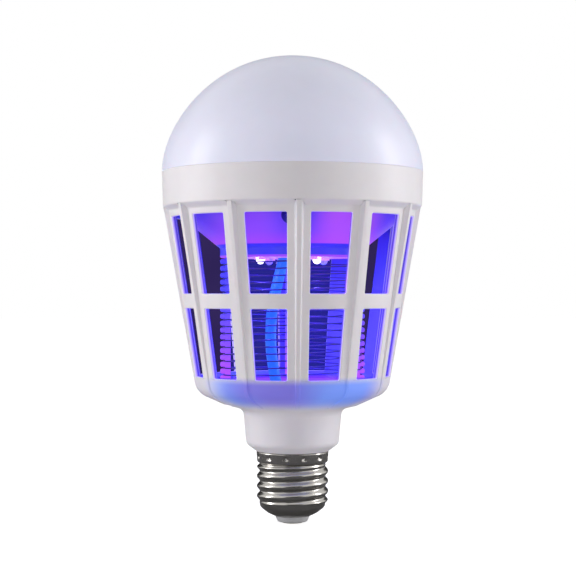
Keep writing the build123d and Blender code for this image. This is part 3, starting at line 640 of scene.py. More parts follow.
def grain(finish, size, depth, cards, gloss, stretch=(1, 1, 1)):
    """Give a finish a grain of a size and depth in mm, between two colours and two roughnesses."""
    place = node(finish, "TexCoord")
    mapped = node(finish, "Mapping", {"Vector": (place, "Object"), "Scale": stretch})
    noise = node(finish, "TexNoise", {
        "Vector": (mapped, "Vector"), "Scale": 1 / (size * MM), "Detail": 4.0,
    })
    patches = node(finish, "TexNoise", {
        "Vector": (mapped, "Vector"), "Scale": 0.08 / (size * MM), "Detail": 2.0,
    })
    tone = node(finish, "Mix", {
        "Factor": (patches, "Fac"), 6: linear(cards[0]), 7: linear(cards[1]),
    }, data_type="RGBA")
    sheen = node(finish, "MapRange", {"Value": (noise, "Fac"), "To Min": gloss[0], "To Max": gloss[1]})
    relief = node(finish, "Bump", {"Height": (noise, "Fac"), "Distance": depth * MM, "Strength": 0.6})
    joined(finish, tone, 2, "Base Color")
    joined(finish, sheen, "Result", "Roughness")
    joined(finish, relief, "Normal", "Normal")
    return tone


def dress(finish, *names):
    """Put a finish on pieces, in place of what they have."""
    for name in names:
        piece = nodes.get(name) or bpy.data.objects[name]
        piece.data.materials.clear()
        piece.data.materials.append(finish)


print("white card", [round(part, 2) for part in linear("#f4f5fa")])

# %% [markdown]
# The two big surfaces are both white plastic, and yet they never look alike.
# The dome is opal polycarbonate: light goes a few millimetres in and comes out
# again, which washes its shading out and tints it blue. The cage is moulded
# ABS, denser and warmer, with a fine spark-eroded texture from the tool.

# %% Opal dome and moulded cage
# Opal polycarbonate, blow moulded: satin outside, soft shading from light that travels inside the wall, cool
# tint, and a painted glow, weaker towards the top, that lightens it though no lamp inside is on.
opal = new_finish(
    "opal_polycarbonate_blown", "#c3c4ce", 0.38, Subsurface_Weight=0.35, Subsurface_Scale=4 * MM, IOR=1.585,
    Emission_Color=linear("#dedffc"),
)
grain(opal, 0.5, 0.004, ("#c1c2cc", "#c6c7d1"), (0.34, 0.44))
place = node(opal, "TexCoord")
split = node(opal, "SeparateXYZ", {"Vector": (place, "Object")})
# The emission is painted light: it lightens the dome, less towards the top.
dome_painted_glow = node(opal, "MapRange", {
    "Value": (split, "Z"), "From Min": 140 * MM, "From Max": 170 * MM, "To Min": 0.33, "To Max": 0.22,
})
joined(opal, dome_painted_glow, "Result", "Emission Strength")
dress(opal, "diffuser_dome")

# ABS, injection moulded in a spark-eroded tool: satin that breaks up over a
# grain of 0.3 mm, drawn at 0.4 so that it shows. Its thin edges pass
# a little of the violet light.
abs_white = new_finish(
    "abs_moulded_cage", "#eeeaee", 0.46, IOR=1.54, Subsurface_Weight=0.12, Subsurface_Scale=1.5 * MM
)
cage_tone = grain(abs_white, 0.4, 0.003, ("#ece8eb", "#f1edf0"), (0.4, 0.54))
dress(abs_white, "cage_moulding")
print("cage white card", [round(part, 2) for part in linear("#eeeaee")])

# %% [markdown]
# Round the cage's floor the moulding glows. The violet light inside leaks through its thinnest wall, and the
# eye sees a band of blue and lavender that comes and goes round the bowl. That light is painted on, as a
# blue tone in the base colour and as emission. The band is made from height above the cap. A slow swing
# round the bowl shifts its strength, and a faster one with a soft noise shifts its hue.

# %% The glow through the bowl
GLOW_FOOT, GLOW_FULL, GLOW_FADES, GLOW_TOP = 41.8, 46.5, 51.8, 55.2
place = node(abs_white, "TexCoord")
split = node(abs_white, "SeparateXYZ", {"Vector": (place, "Object")})
rise = node(abs_white, "MapRange", {
    "Value": (split, "Z"), "From Min": GLOW_FOOT * MM, "From Max": GLOW_FULL * MM,
}, interpolation_type="SMOOTHSTEP")
fall = node(abs_white, "MapRange", {
    "Value": (split, "Z"),
    "From Min": GLOW_FADES * MM, "From Max": GLOW_TOP * MM, "To Min": 1.0, "To Max": 0.0,
}, interpolation_type="SMOOTHSTEP")
band = node(abs_white, "Math", {0: (rise, "Result"), 1: (fall, "Result")}, operation="MULTIPLY")
around = node(abs_white, "Math", {0: (split, "Y"), 1: (split, "X")}, operation="ARCTAN2")
fourfold = node(abs_white, "Math", {0: (around, "Value"), 1: 4.0, 2: radians(60)}, operation="MULTIPLY_ADD")
swing = node(abs_white, "Math", {0: (fourfold, "Value")}, operation="COSINE")
patch = node(abs_white, "TexNoise", {"Vector": (place, "Object"), "Scale": 1 / (14 * MM), "Detail": 1.0})
drift = node(abs_white, "Math", {0: (patch, "Fac"), 1: 1.6, 2: (swing, "Value")}, operation="MULTIPLY_ADD")
between = node(abs_white, "MapRange", {"Value": (drift, "Value"), "From Min": 0.0, "From Max": 1.7})
hue = node(abs_white, "Mix", {
    "Factor": (between, "Result"), 6: linear("#5e8af4"), 7: linear("#645cd4"),
}, data_type="RGBA")
twofold = node(abs_white, "Math", {0: (around, "Value"), 1: 2.0}, operation="MULTIPLY")
facing = node(abs_white, "Math", {0: (twofold, "Value")}, operation="COSINE")
window_side = node(abs_white, "MapRange", {
    "Value": (facing, "Value"), "From Min": 0.75, "From Max": -0.15, "To Min": 0.06, "To Max": 1.0,
}, interpolation_type="SMOOTHSTEP")
ring_glow = node(abs_white, "Math", {0: (band, "Value"), 1: (window_side, "Result")}, operation="MULTIPLY")
amount = node(abs_white, "Math", {0: (ring_glow, "Value"), 1: 0.86}, operation="MULTIPLY")
# Painted light: the glow's blue is mixed into the moulding's base colour.
glow_painted_tone = node(abs_white, "Mix", {
    "Factor": (amount, "Value"), 6: (cage_tone, 2), 7: (hue, 2),
}, data_type="RGBA")
strength = node(abs_white, "Math", {0: (ring_glow, "Value"), 1: 0.35}, operation="MULTIPLY")
print("glow from", GLOW_FOOT, "to", GLOW_TOP, "mm")

# %% [markdown]
# Light from inside also catches the windows' cut edges. It is painted on them, violet in base colour and
# emission, with a painted pale highlight at the outer rim. The cut edges face neither outwards nor inwards,
# and that is how they are found: by how far their normals lean from the line out from the axis. The ribs'
# flanks lean as far, and are left out by their distance from the post.

# %% The violet light painted on the windows' cut edges
WINDOW_MIDDLE, WINDOW_REACH = (SILL + TOP_BAR) / 2, (TOP_BAR - SILL) / 2 + 0.3
level_place = node(abs_white, "VectorMath", {0: (place, "Object"), 1: (1, 1, 0)}, operation="MULTIPLY")
way_out = node(abs_white, "VectorMath", {0: (level_place, "Vector")}, operation="NORMALIZE")
side = node(abs_white, "NewGeometry")
lean_out = node(abs_white, "VectorMath", {
    0: (side, "Normal"), 1: (way_out, "Vector"),
}, operation="DOT_PRODUCT")
lean_size = node(abs_white, "Math", {0: (lean_out, "Value")}, operation="ABSOLUTE")
cut_edge = node(abs_white, "MapRange", {
    "Value": (lean_size, "Value"), "From Min": 0.5, "From Max": 0.3,
}, interpolation_type="SMOOTHSTEP")
in_rows = node(abs_white, "Math", {
    0: (split, "Z"), 1: WINDOW_MIDDLE * MM, 2: WINDOW_REACH * MM,
}, operation="COMPARE")
from_axis = node(abs_white, "VectorMath", {0: (level_place, "Vector")}, operation="LENGTH")
off_post = node(abs_white, "Math", {0: (around, "Value"), 1: pi / POSTS, 2: -pi / POSTS}, operation="WRAP")
off_sine = node(abs_white, "Math", {0: (off_post, "Value")}, operation="SINE")
off_size = node(abs_white, "Math", {0: (off_sine, "Value")}, operation="ABSOLUTE")
off_rib = node(abs_white, "Math", {0: (off_size, "Value"), 1: (from_axis, "Value")}, operation="MULTIPLY")
beside = node(abs_white, "Math", {0: (off_rib, "Value"), 1: RIB_REACH * MM}, operation="GREATER_THAN")
in_bay = node(abs_white, "Math", {0: (in_rows, "Value"), 1: (beside, "Value")}, operation="MULTIPLY")
edge_glow = node(abs_white, "Math", {0: (cut_edge, "Result"), 1: (in_bay, "Value")}, operation="MULTIPLY")
WALL_SLOPE = (wall_radius(TOP_BAR) - wall_radius(SILL)) / (TOP_BAR - SILL)
WALL_START = wall_radius(SILL) - SILL * WALL_SLOPE
# The pale line at the outer rim is a painted highlight.
below_wall = node(abs_white, "Math", {
    0: (split, "Z"), 1: -WALL_SLOPE, 2: (from_axis, "Value"),
}, operation="MULTIPLY_ADD")
rim_highlight_share = node(abs_white, "MapRange", {
    "Value": (below_wall, "Value"),
    "From Min": (WALL_START - 1.3) * MM, "From Max": (WALL_START - 0.3) * MM,
}, interpolation_type="SMOOTHSTEP")
edge_hue = node(abs_white, "Mix", {
    "Factor": (rim_highlight_share, "Result"), 6: linear("#8c6cf4"), 7: linear("#e6d4ff"),
}, data_type="RGBA")
glow_hue = node(abs_white, "Mix", {
    "Factor": (edge_glow, "Value"), 6: (hue, 2), 7: (edge_hue, 2),
}, data_type="RGBA")
edge_power = node(abs_white, "MapRange", {"Value": (rim_highlight_share, "Result"), "To Min": 0.3, "To Max": 0.55})
total = node(abs_white, "Math", {
    0: (edge_glow, "Value"), 1: (edge_power, "Result"), 2: (strength, "Value"),
}, operation="MULTIPLY_ADD")
# Inside, the posts' faces are painted in the emitters' violet, and strong blue near them: painted light on a
# white moulding.
indoors = node(abs_white, "MapRange", {
    "Value": (lean_out, "Value"), "From Min": -0.5, "From Max": -0.8, "To Max": 0.95,
}, interpolation_type="SMOOTHSTEP")
by_emitters = node(abs_white, "MapRange", {
    "Value": (split, "Z"), "From Min": 76 * MM, "From Max": 102 * MM,
}, interpolation_type="SMOOTHSTEP")
indoor_painted_light = node(abs_white, "Mix", {
    "Factor": (by_emitters, "Result"), 6: linear("#6c62de"), 7: linear("#4a50e0"),
}, data_type="RGBA")
indoor_painted_tone = node(abs_white, "Mix", {
    "Factor": (indoors, "Result"), 6: (glow_painted_tone, 2), 7: (indoor_painted_light, 2),
}, data_type="RGBA")
# The cut edges' base colour is painted light: violet, and pale at the outer rim.
edge_painted_tone = node(abs_white, "Mix", {
    "Factor": (rim_highlight_share, "Result"), 6: linear("#3a30c0"), 7: linear("#b4a4f0"),
}, data_type="RGBA")
edged_tone = node(abs_white, "Mix", {
    "Factor": (edge_glow, "Value"), 6: (indoor_painted_tone, 2), 7: (edge_painted_tone, 2),
}, data_type="RGBA")
joined(abs_white, edged_tone, 2, "Base Color")
joined(abs_white, glow_hue, 2, "Emission Color")
joined(abs_white, total, "Value", "Emission Strength")
print("cut edges glow from", round(SILL - 0.3, 2), "to", round(TOP_BAR + 0.3, 2), "mm")

# %% [markdown]
# The cap is nickel on brass. Rolling leaves fine lines round it, so its
# reflections smear along its height, and nickel is a little yellower than
# chrome. The insulator below it is pressed glassy ceramic in mid grey, and the
# contact is tinned brass, dulled by the holder's spring.

# %% Metals of the cap and the grid
# Nickel-plated brass sheet, rolled: satin, with lines round it 0.25 mm apart.
nickel = new_finish("nickel_plated_rolled", "#b4b1ac", 0.24, metallic=1.0)
grain(nickel, 0.9, 0.008, ("#aeaba5", "#bdbab6"), (0.17, 0.28), stretch=(0.25, 0.25, 3.6))
dress(nickel, "cap_shell")

# Vitrified ceramic, pressed: matt, speckled at 0.3 mm.
ceramic = new_finish("ceramic_pressed_grey", "#c6c6c8", 0.5)
grain(ceramic, 0.3, 0.01, ("#bebec1", "#cecece"), (0.42, 0.6))
dress(ceramic, "insulator_ring")

# Tin on brass, soldered: pale and a little lumpy.
tin = new_finish("tinned_contact", "#cfccc4", 0.35, metallic=1.0)
grain(tin, 1.2, 0.05, ("#c2bfb6", "#d8d6d0"), (0.28, 0.45))
dress(tin, "centre_contact")

# Stainless steel, drawn. Its dark violet grey is painted light and shade: the emitters' violet and the dark
# inside the cage. It shows as dark lines on the posts. The lines along the wire are too fine to draw, so the
# grain only breaks up its gloss.
drawn = new_finish("stainless_drawn_wire_painted_violet", "#5a5490", 0.34, metallic=1.0)
grain(drawn, 0.6, 0.004, ("#544e8a", "#605a98"), (0.28, 0.42))
dress(drawn, "grid_wire_live_round", "grid_wire_return_round")

# Zinc-plated steel screws: cool, with the plating's soft mottling.
zinc = new_finish("zinc_plated_screws", "#a9abb0", 0.34, metallic=1.0)
grain(zinc, 0.8, 0.006, ("#9fa2a8", "#b4b6ba"), (0.28, 0.42))
dress(zinc, "head_screws", "board_screws")

# Aluminium sheet, stamped: rolling lines across it 0.4 mm apart.
aluminium = new_finish("aluminium_stamped", "#c7c9cc", 0.4, metallic=1.0)
grain(aluminium, 1.0, 0.008, ("#bdbfc3", "#cfd1d4"), (0.34, 0.48), stretch=(2.5, 0.3, 1))
dress(aluminium, "heat_spreader")
print("metals", [finish.name for finish in (nickel, tin, drawn, zinc, aluminium)])

# %% [markdown]
# Inside the cage all is pure violet and blue, with no paleness from the daylight that falls in. White
# plastic would turn pale there, so the emitters' violet light is painted into the inner pieces' own colour.
# A little emission in the colour of the emitters' light, painted light too, is mixed in by height: pinker
# where it has been reflected.

# %% Plastics inside the cage


def glow_by_height(finish, strength, *stops):
    """Paint the emitters' light on a finish as emission, in colours at heights in mm, lowest first."""
    foot, top = stops[0][0], stops[-1][0]
    place = node(finish, "TexCoord")
    split = node(finish, "SeparateXYZ", {"Vector": (place, "Object")})
    share = node(finish, "MapRange", {"Value": (split, "Z"), "From Min": foot * MM, "From Max": top * MM})
    ramp = node(finish, "ValToRGB", {"Fac": (share, "Result")})
    points = ramp.color_ramp.elements
    points[0].color, points[1].color = linear(stops[0][1]), linear(stops[-1][1])
    for height, card in stops[1:-1]:
        points.new((height - foot) / (top - foot)).color = linear(card)
    joined(finish, ramp, "Color", "Emission Color")
    finish.node_tree.nodes["Principled BSDF"].inputs["Emission Strength"].default_value = strength
    return ramp


# ABS, injection moulded, polished tool: smooth, with soft flow marks. Its violet colour and its glow are
# painted emitter light: the hub blue, the cone pink at its foot and violet under the ring.
abs_inner = new_finish("abs_moulded_inner", "#4a3cc4", 0.42, IOR=1.54)
grain(abs_inner, 1.4, 0.004, ("#4638be", "#4e40ca"), (0.36, 0.48))
HEAD_GLOW = 0.5
by_height = glow_by_height(
    abs_inner, HEAD_GLOW, (96.8, "#d058f0"), (97.35, "#d058f0"), (97.6, "#2430d8"), (101.2, "#2a34e0"),
    (101.6, "#c44ef4"), (105.5, "#8c4cf4"), (113.0, "#5038ee"),
)
# The screw recesses see none of the emitters, so the painted glow is left off their upright walls and flat
# floors above the hub, and they stay dark.
HUB_SHOULDER = 100.4
side = node(abs_inner, "NewGeometry")
lie = node(abs_inner, "SeparateXYZ", {"Vector": (side, "True Normal")})
tilt = node(abs_inner, "Math", {0: (lie, "Z")}, operation="ABSOLUTE")
sloping = node(abs_inner, "Math", {0: (tilt, "Value"), 1: 0.777, 2: 0.14}, operation="COMPARE")
place = node(abs_inner, "TexCoord")
split = node(abs_inner, "SeparateXYZ", {"Vector": (place, "Object")})
hub_side = node(abs_inner, "Math", {0: (split, "Z"), 1: HUB_SHOULDER * MM}, operation="LESS_THAN")
lit = node(abs_inner, "Math", {0: (sloping, "Value"), 1: (hub_side, "Value")}, operation="MAXIMUM")
give_back = node(abs_inner, "Math", {0: (lit, "Value"), 1: HEAD_GLOW}, operation="MULTIPLY")
joined(abs_inner, give_back, "Value", "Emission Strength")
# The painted glow on the cone is pinkest above the emitters, and most so above the right-hand one.
above_hub = node(abs_inner, "Math", {0: (split, "Z"), 1: 101.4 * MM}, operation="GREATER_THAN")
aside = node(abs_inner, "Math", {0: (split, "X")}, operation="ABSOLUTE")
off_lobe = node(abs_inner, "Math", {0: (aside, "Value"), 1: 18 * MM}, operation="SUBTRACT")
off_size = node(abs_inner, "Math", {0: (off_lobe, "Value")}, operation="ABSOLUTE")
lobe = node(abs_inner, "MapRange", {
    "Value": (off_size, "Value"), "From Min": 15 * MM, "From Max": 4 * MM,
}, interpolation_type="SMOOTHSTEP")
to_right = node(abs_inner, "MapRange", {
    "Value": (split, "X"), "From Min": -6 * MM, "From Max": 6 * MM, "To Min": 0.3, "To Max": 0.75,
}, interpolation_type="SMOOTHSTEP")
pinker = node(abs_inner, "Math", {0: (lobe, "Result"), 1: (to_right, "Result")}, operation="MULTIPLY")
cone_pink_glow_share = node(abs_inner, "Math", {0: (pinker, "Value"), 1: (above_hub, "Value")}, operation="MULTIPLY")
cone_pink_glow_tone = node(abs_inner, "Mix", {
    "Factor": (cone_pink_glow_share, "Value"), 6: (by_height, "Color"), 7: linear("#f064f4"),
}, data_type="RGBA")
joined(abs_inner, cone_pink_glow_tone, 2, "Emission Color")
dress(abs_inner, "head_base")

# The grid posts are cast in the same plastic. Their violet colour and glow are painted emitter light, pink
# low down among the wires and blue up by the emitters.
abs_post = new_finish("abs_moulded_posts", "#6a58d0", 0.4, IOR=1.54)
grain(abs_post, 1.0, 0.004, ("#6450ca", "#7060d6"), (0.36, 0.46))
glow_by_height(abs_post, 0.7, (52.0, "#d85ce8"), (66.0, "#9050e8"), (80.0, "#4a4cec"), (97.0, "#2c34e6"))
dress(abs_post, *[f"grid_post_{index}_comb" for index in range(1, 5)])

# ABS tray, moulded: glossier, since it lifts out to be wiped clean. Its violet colour and the pink glow at
# its foot are painted emitter light.
abs_tray = new_finish("abs_moulded_tray", "#5a3cdc", 0.32, IOR=1.54)
grain(abs_tray, 1.6, 0.003, ("#5438d6", "#6040e2"), (0.28, 0.38))
glow_by_height(abs_tray, 0.3, (50.0, "#e060f0"), (51.4, "#d05cf0"), (53.0, "#5848f0"))
dress(abs_tray, "insect_tray")

# Glass-fibre sleeve, braided and coated: a weave of 1.6 mm that glitters a little. The emitters' blue light
# is painted on it, as colour and emission.
SLEEVE_WEAVE = 1.6
braided = new_finish("glass_fibre_braided_sleeve", "#1c70d8", 0.4)
grain(braided, 0.7, 0.01, ("#1858b4", "#2c70c8"), (0.3, 0.5))
place = node(braided, "TexCoord")
scales = node(braided, "TexVoronoi", {"Vector": (place, "Object"), "Scale": 1 / (SLEEVE_WEAVE * MM)})
woven = node(braided, "Bump", {"Height": (scales, "Distance"), "Distance": 0.25 * MM, "Strength": 0.7})
joined(braided, woven, "Normal", "Normal")
glow_by_height(braided, 0.42, (50.0, "#2f90e4"), (75.0, "#2480de"), (97.0, "#2888e4"))
dress(braided, "lead_sleeve")

# PVC insulation, extruded: waxy, with faint lines along it.
pvc_lead = new_finish("pvc_extruded_leads", "#c4c6cc", 0.4, IOR=1.53)
grain(pvc_lead, 0.6, 0.005, ("#bcbec6", "#cccdd2"), (0.34, 0.46), stretch=(1, 1, 0.2))
LEADS = ("centre_lead", "shell_lead", "grid_lead_live", "grid_lead_return", "uv_board_leads", "light_leads")
dress(pvc_lead, *LEADS)
print("leads", len(LEADS), "and a sleeve woven at", SLEEVE_WEAVE, "mm")

# %% [markdown]
# The boards and their components can't be seen from outside, but they are the
# first thing that shows when the dome comes off. A board is glass cloth in
# resin under a lacquer called solder mask. Its copper tracks stand a few
# hundredths of a millimetre proud, so they show as paler paths under the green.

# %% Boards
# Glass-epoxy laminate under green solder mask: a weave of 0.9 mm with tracks.
mask_green = new_finish("glass_epoxy_green_mask", "#2f6b4a", 0.3, IOR=1.55)
under = grain(mask_green, 0.9, 0.004, ("#2a6244", "#347350"), (0.24, 0.36))
place = node(mask_green, "TexCoord")
cells = node(mask_green, "TexVoronoi", {
    "Vector": (place, "Object"), "Scale": 1 / (4.5 * MM), "Randomness": 0.85,
}, feature="DISTANCE_TO_EDGE", distance="EUCLIDEAN")
track = node(mask_green, "MapRange", {"Value": (cells, "Distance"), "From Min": 0.06, "From Max": 0.1})
shown = node(mask_green, "Mix", {
    "Factor": (track, "Result"), 6: linear("#5f9a6c"), 7: (under, 2),
}, data_type="RGBA")
joined(mask_green, shown, 2, "Base Color")
dress(mask_green, "driver_board")

# White solder mask, screen printed: bright and satin, to throw light outwards.
mask_white = new_finish("white_mask_on_laminate", "#dedee6", 0.34)
grain(mask_white, 0.8, 0.004, ("#d8d8e2", "#e4e4ea"), (0.28, 0.42))
# The pink at its foot is painted emitter light.
glow_by_height(mask_white, 0.5, (96.6, "#e060f0"), (98.0, "#d058f0"))
dress(mask_white, "uv_board")

# The same mask on an aluminium core, which stays flatter and glossier.
mask_core = new_finish("white_mask_on_aluminium", "#e2e2e2", 0.26)
grain(mask_core, 0.8, 0.003, ("#dcdcdc", "#e8e8e8"), (0.22, 0.32))
dress(mask_core, "led_board")
print("board finishes", [finish.name for finish in (mask_green, mask_white, mask_core)])

# %% Components on the boards
# Each of these is a moulded, dipped, pressed or sleeved body, and what tells
# them apart is the size of its grain and how much it shines.
for name, cards, size, depth, gloss, wearers in (
    ("pet_shrink_sleeve", ("#1f2a5c", "#27346c"), 1.5, 0.006, (0.18, 0.28), ("bulk_capacitor",)),
    ("ferrite_sintered", ("#232326", "#2c2c30"), 0.25, 0.012, (0.5, 0.68), ("transformer",)),
    (
        "epoxy_transfer_moulded", ("#141416", "#1c1c1f"), 0.2, 0.01, (0.4, 0.6),
        ("bridge_rectifier", "multiplier_diodes"),
    ),
    ("lacquer_dipped_ceramic", ("#6c9fb4", "#7cb0c4"), 0.9, 0.01, (0.16, 0.3), ("fusible_resistor",)),
    ("epoxy_dipped_film", ("#8f3a1c", "#a24624"), 2.2, 0.03, (0.12, 0.24), ("multiplier_capacitors",)),
):
    body = new_finish(name, cards[0], gloss[0])
    grain(body, size, depth, cards, gloss)
    dress(body, *wearers)

# Phosphor in silicone: a matt yellow pad.
phosphor = new_finish("phosphor_in_silicone", "#e8d27a", 0.45)
grain(phosphor, 0.15, 0.004, ("#e2ca6c", "#eeda8a"), (0.38, 0.52))
dress(phosphor, "white_leds")
print("finishes so far", len(bpy.data.materials))

# %% [markdown]
# The four violet emitters are the brightest things in the cage. The photograph
# shows each as a small white disc with a pink halo, because its light is more
# than the camera can hold. Each lens therefore shines almost white at its
# middle, and fades to pink at its foot. Only the two at the front are seen lit
# there, so the two at the back keep their clear silicone and stay dark.

# %% The emitters' silicone
lens = new_finish("silicone_lens_violet", "#e8dcff", 0.12, IOR=1.41)
grain(lens, 0.5, 0.001, ("#e4d8ff", "#f0e8ff"), (0.08, 0.16))
LENS_GLOW = 3.0
glow_by_height(lens, LENS_GLOW, (94.4, "#fff6ff"), (96.4, "#fff0ff"), (96.8, "#e080ff"))
place = node(lens, "TexCoord")
split = node(lens, "SeparateXYZ", {"Vector": (place, "Object")})
in_front = node(lens, "Math", {0: (split, "Y"), 1: 0.0}, operation="LESS_THAN")
lit = node(lens, "Math", {0: (in_front, "Value"), 1: LENS_GLOW}, operation="MULTIPLY")
joined(lens, lit, "Value", "Emission Strength")
dress(lens, "emitter_lenses")
dress(mask_white, "uv_leds")
print("lens glow", LENS_GLOW)

# %% [markdown]
# The stage is flat sheets: a floor, the backdrop's dark middle and three cards
# that only reflections see. They share four helpers, which empty a finish,
# tell straight rays from soft light, lay a sheet and hide it from some rays.

# %% Helpers for the studio


def bare(block_of_nodes):
    """Give a material or a world an empty set of nodes, and hand it back."""
    block_of_nodes.use_nodes = True
    block_of_nodes.node_tree.nodes.clear()
    return block_of_nodes


def seen_straight(finish):
    """A node that is 1 for the camera, reflections and clear plastic, and 0 for soft light."""
    ray = node(finish, "LightPath")
    gloss = node(finish, "Math", {0: (ray, "Is Camera Ray"), 1: (ray, "Is Glossy Ray")}, operation="MAXIMUM")
    return node(finish, "Math", {0: (gloss, "Value"), 1: (ray, "Is Transmission Ray")}, operation="MAXIMUM")


def sheet(name, spot, turned_by, size):
    """A flat sheet of the stage, at a spot and of a size in metres."""
    rest()
    bpy.ops.mesh.primitive_plane_add(size=1, location=spot, rotation=turned_by)
    piece = bpy.context.object
    piece.name = name
    piece.scale = (*size, 1)
    set_down(piece)
    return piece


def hide_from(piece, *rays):
    """Keep a sheet of the stage from some kinds of rays."""
    for ray in rays:
        setattr(piece, "visible_" + ray, False)


# %% [markdown]
# In the photograph the ground beside the lamp is white, and yet what shows
# through the far windows is dark violet. So the backdrop has a dark middle: a
# violet card that stands almost a metre behind the lamp and is just narrow
# enough to hide behind the cage from the photograph's place. Only the camera
# sees it, so it takes no light away. From elsewhere the windows show white.

# %% The dark middle of the backdrop
CARD_AWAY, CARD_FOOT = 900.0, 0.5
spread = (VIEW_DISTANCE + CARD_AWAY) / VIEW_DISTANCE
card_top = EYE_LEVEL + (TOP_BAR + 1.5 - EYE_LEVEL) * spread
half_low, half_high = [(wall_radius(level) - 1.2) * spread for level in (SILL, TOP_BAR)]
card_middle = Vector((-sin(VIEW_SIDE), cos(VIEW_SIDE), 0)) * CARD_AWAY * MM
backdrop = sheet(
    "backdrop_middle", card_middle + Vector((0, 0, (CARD_FOOT + card_top) / 2 * MM)),
    (pi / 2, 0, VIEW_SIDE), (2 * half_high * MM, (card_top - CARD_FOOT) * MM),
)
for corner in backdrop.data.vertices:
    if corner.co.z < EYE_LEVEL * MM:
        middle = Vector((card_middle.x, card_middle.y, corner.co.z))
        corner.co = middle + (corner.co - middle) * (half_low / half_high)
hide_from(backdrop, "diffuse", "glossy", "transmission", "volume_scatter", "shadow")
# The card's dark violet is painted shade, and its bluer middle painted blue light, for what shows through
# the far windows.
violet_card = bare(bpy.data.materials.new("violet_backdrop_card"))
place = node(violet_card, "TexCoord")
patch = node(violet_card, "TexNoise", {"Vector": (place, "Object"), "Scale": 1 / (80 * MM), "Detail": 1.0})
dusk = node(violet_card, "Mix", {
    "Factor": (patch, "Fac"), 6: linear("#1c1144"), 7: linear("#3a2e62"),
}, data_type="RGBA")
split = node(violet_card, "SeparateXYZ", {"Vector": (place, "Object")})
from_middle = node(violet_card, "Math", {0: (split, "X"), 1: card_middle.x}, operation="SUBTRACT")
off_middle = node(violet_card, "Math", {0: (from_middle, "Value")}, operation="ABSOLUTE")
middle_share = node(violet_card, "MapRange", {
    "Value": (off_middle, "Value"), "From Min": 72 * MM, "From Max": 50 * MM,
}, interpolation_type="SMOOTHSTEP")
dusk_blue = node(violet_card, "Mix", {
    "Factor": (middle_share, "Result"), 6: (dusk, 2), 7: linear("#28268c"),
}, data_type="RGBA")
dark = node(violet_card, "Emission", {"Color": (dusk_blue, 2), "Strength": 1.0})
node(violet_card, "OutputMaterial", {"Surface": (dark, "Emission")})
dress(violet_card, "backdrop_middle")
print("backdrop's middle", round(2 * half_low), "to", round(2 * half_high), "mm wide")

# %% [markdown]
# Inside the cage each emitter throws a little violet light down. Four faint
# points add the light that has gone from wall to wall there: blue in the
# middle of the grid, pink and violet by the front windows.

# %% Lights inside the cage


def lamp(kind, name, spot, colour, power, size, aim=None):
    """Add a light at a spot in mm, turned towards an aim if it has one, and hidden from the camera."""
    rest()
    bpy.ops.object.light_add(type=kind, location=[part * MM for part in spot])
    light = bpy.context.object
    light.name = name
    light.data.energy = power
    light.data.color = colour
    if kind == "AREA":
        light.data.shape = "RECTANGLE"
        light.data.size, light.data.size_y = size
        line = Vector(aim) - Vector(spot)
        light.rotation_euler = line.to_track_quat("-Z", "Y").to_euler()
    else:
        light.data.shadow_soft_size = size
    light.visible_camera = False
    return light


for index in range(EMITTERS):
    turn_to = radians(EMITTER_TURN + 360 / EMITTERS * index)
    spot = Vector((EMITTER_CIRCLE * cos(turn_to), EMITTER_CIRCLE * sin(turn_to), LENS_MIDDLE - 2.5))
    below = spot - Vector((0, 0, 9))
    lamp("AREA", f"emitter_light_{index + 1}", spot, (0.12, 0.08, 1.0), 0.008, (2 * MM, 2 * MM), aim=below)
lamp("POINT", "glow_low", (10, 6, 66), (0.08, 0.10, 1.0), 0.014, 8 * MM)
lamp("POINT", "glow_high", (10, 6, 84), (0.02, 0.07, 1.0), 0.015, 8 * MM)
lamp("POINT", "glow_pink", (14, -31, 88), (0.8, 0.10, 0.9), 0.0012, 3 * MM)
lamp("POINT", "glow_violet", (-14, -30, 88), (0.25, 0.10, 1.0), 0.0014, 3 * MM)
print("emitter lights", EMITTERS)

# %% [markdown]
# Outside, two tall soft boxes stand level with the lamp on either side, which
# leaves its middle grey and its flanks bright, as the photograph has them. A
# weak one fills the front.

# %% Studio lights
STRIP_AWAY, STRIP_HEIGHT = 900, 150
for name, side_of in (("strip_left", -1), ("strip_right", 1)):
    lamp(
        "AREA", name, (side_of * STRIP_AWAY, 0, STRIP_HEIGHT), (1.0, 0.99, 1.0), 6.2, (0.24, 1.1),
        aim=(0, 0, 90),
    )
lamp("AREA", "front_fill", (-150, -1100, 60), (1.0, 0.97, 0.98), 2.4, (0.8, 0.8), aim=(0, 0, 90))
print("soft boxes", STRIP_AWAY, "mm to either side")

# %% [markdown]
# Polished metal shows the studio more than itself. The photograph's cap is
# dark in the middle and bright on both flanks, which is what black cards in
# front of, behind and under a lamp do. These cards are there for reflections
# alone: the camera, the shadows and the soft light don't see them.

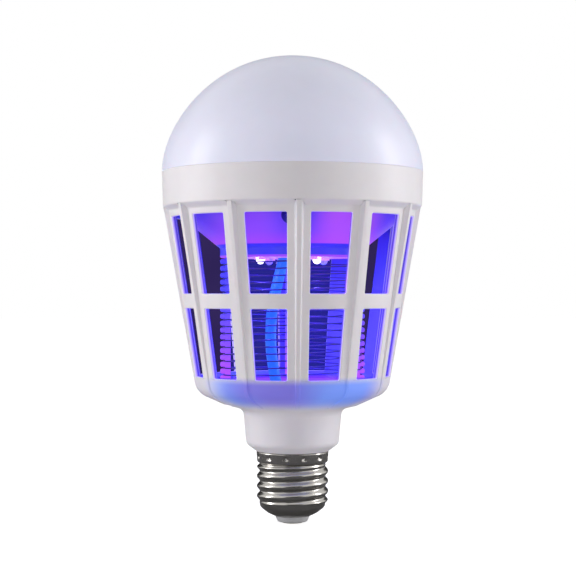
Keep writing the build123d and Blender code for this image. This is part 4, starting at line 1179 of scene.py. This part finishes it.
# %% Black cards for the cap
CARDS = (
    ("card_front", "#383838", (0, -900, 200), (pi / 2, 0, 0), (0.95, 1.1)),
    ("card_back", "#303030", (0, 900, 200), (pi / 2, 0, 0), (1.7, 1.1)),
    ("card_floor", "#7c7c7c", (0, 0, 0.1), (0, 0, 0), (0.9, 0.9)),
)
for name, card_grey, spot, turned_by, size in CARDS:
    velvet_card = bare(bpy.data.materials.new(name + "_velvet"))
    velvet = node(velvet_card, "BsdfDiffuse", {"Color": linear(card_grey)})
    node(velvet_card, "OutputMaterial", {"Surface": (velvet, "BSDF")})
    card = sheet(name, Vector(spot) * MM, turned_by, size)
    dress(velvet_card, name)
    hide_from(card, "camera", "diffuse", "transmission", "volume_scatter", "shadow")
print("cards", len(CARDS))

# %% [markdown]
# The floor and the world look white to the camera and to reflections, and
# light the object far more softly than that.

# %% Floor and world
rest()
bpy.ops.mesh.primitive_plane_add(size=8.0, location=(0, 0, -0.2 * MM))
floor = bpy.context.object
floor.name = "studio_floor"
bpy.ops.object.mode_set(mode="EDIT")
bpy.ops.mesh.subdivide(number_cuts=2)
rest()
set_down(floor)

FLOOR_LIFT, WORLD_LIGHT = 0.72, 0.4
floor_paint = bare(bpy.data.materials.new("studio_floor_paint"))
seen = seen_straight(floor_paint)
lift = node(floor_paint, "Math", {0: (seen, "Value"), 1: FLOOR_LIFT}, operation="MULTIPLY")
paint = node(floor_paint, "BsdfDiffuse", {"Color": linear("#e8e8ea")})
shine = node(floor_paint, "Emission", {"Color": linear("#ffffff"), "Strength": (lift, "Value")})
both = node(floor_paint, "AddShader", {0: (paint, "BSDF"), 1: (shine, "Emission")})
node(floor_paint, "OutputMaterial", {"Surface": (both, "Shader")})
dress(floor_paint, "studio_floor")

world = bare(bpy.data.worlds.new("studio_world"))
bpy.context.scene.world = world
seen = seen_straight(world)
level = node(world, "MapRange", {"Value": (seen, "Value"), "To Min": WORLD_LIGHT, "To Max": 1.0})
sky = node(world, "Background", {"Color": linear("#ffffff"), "Strength": (level, "Result")})
node(world, "OutputWorld", {"Surface": (sky, "Background")})
print("floor", round(floor.dimensions.x, 1), "m wide")
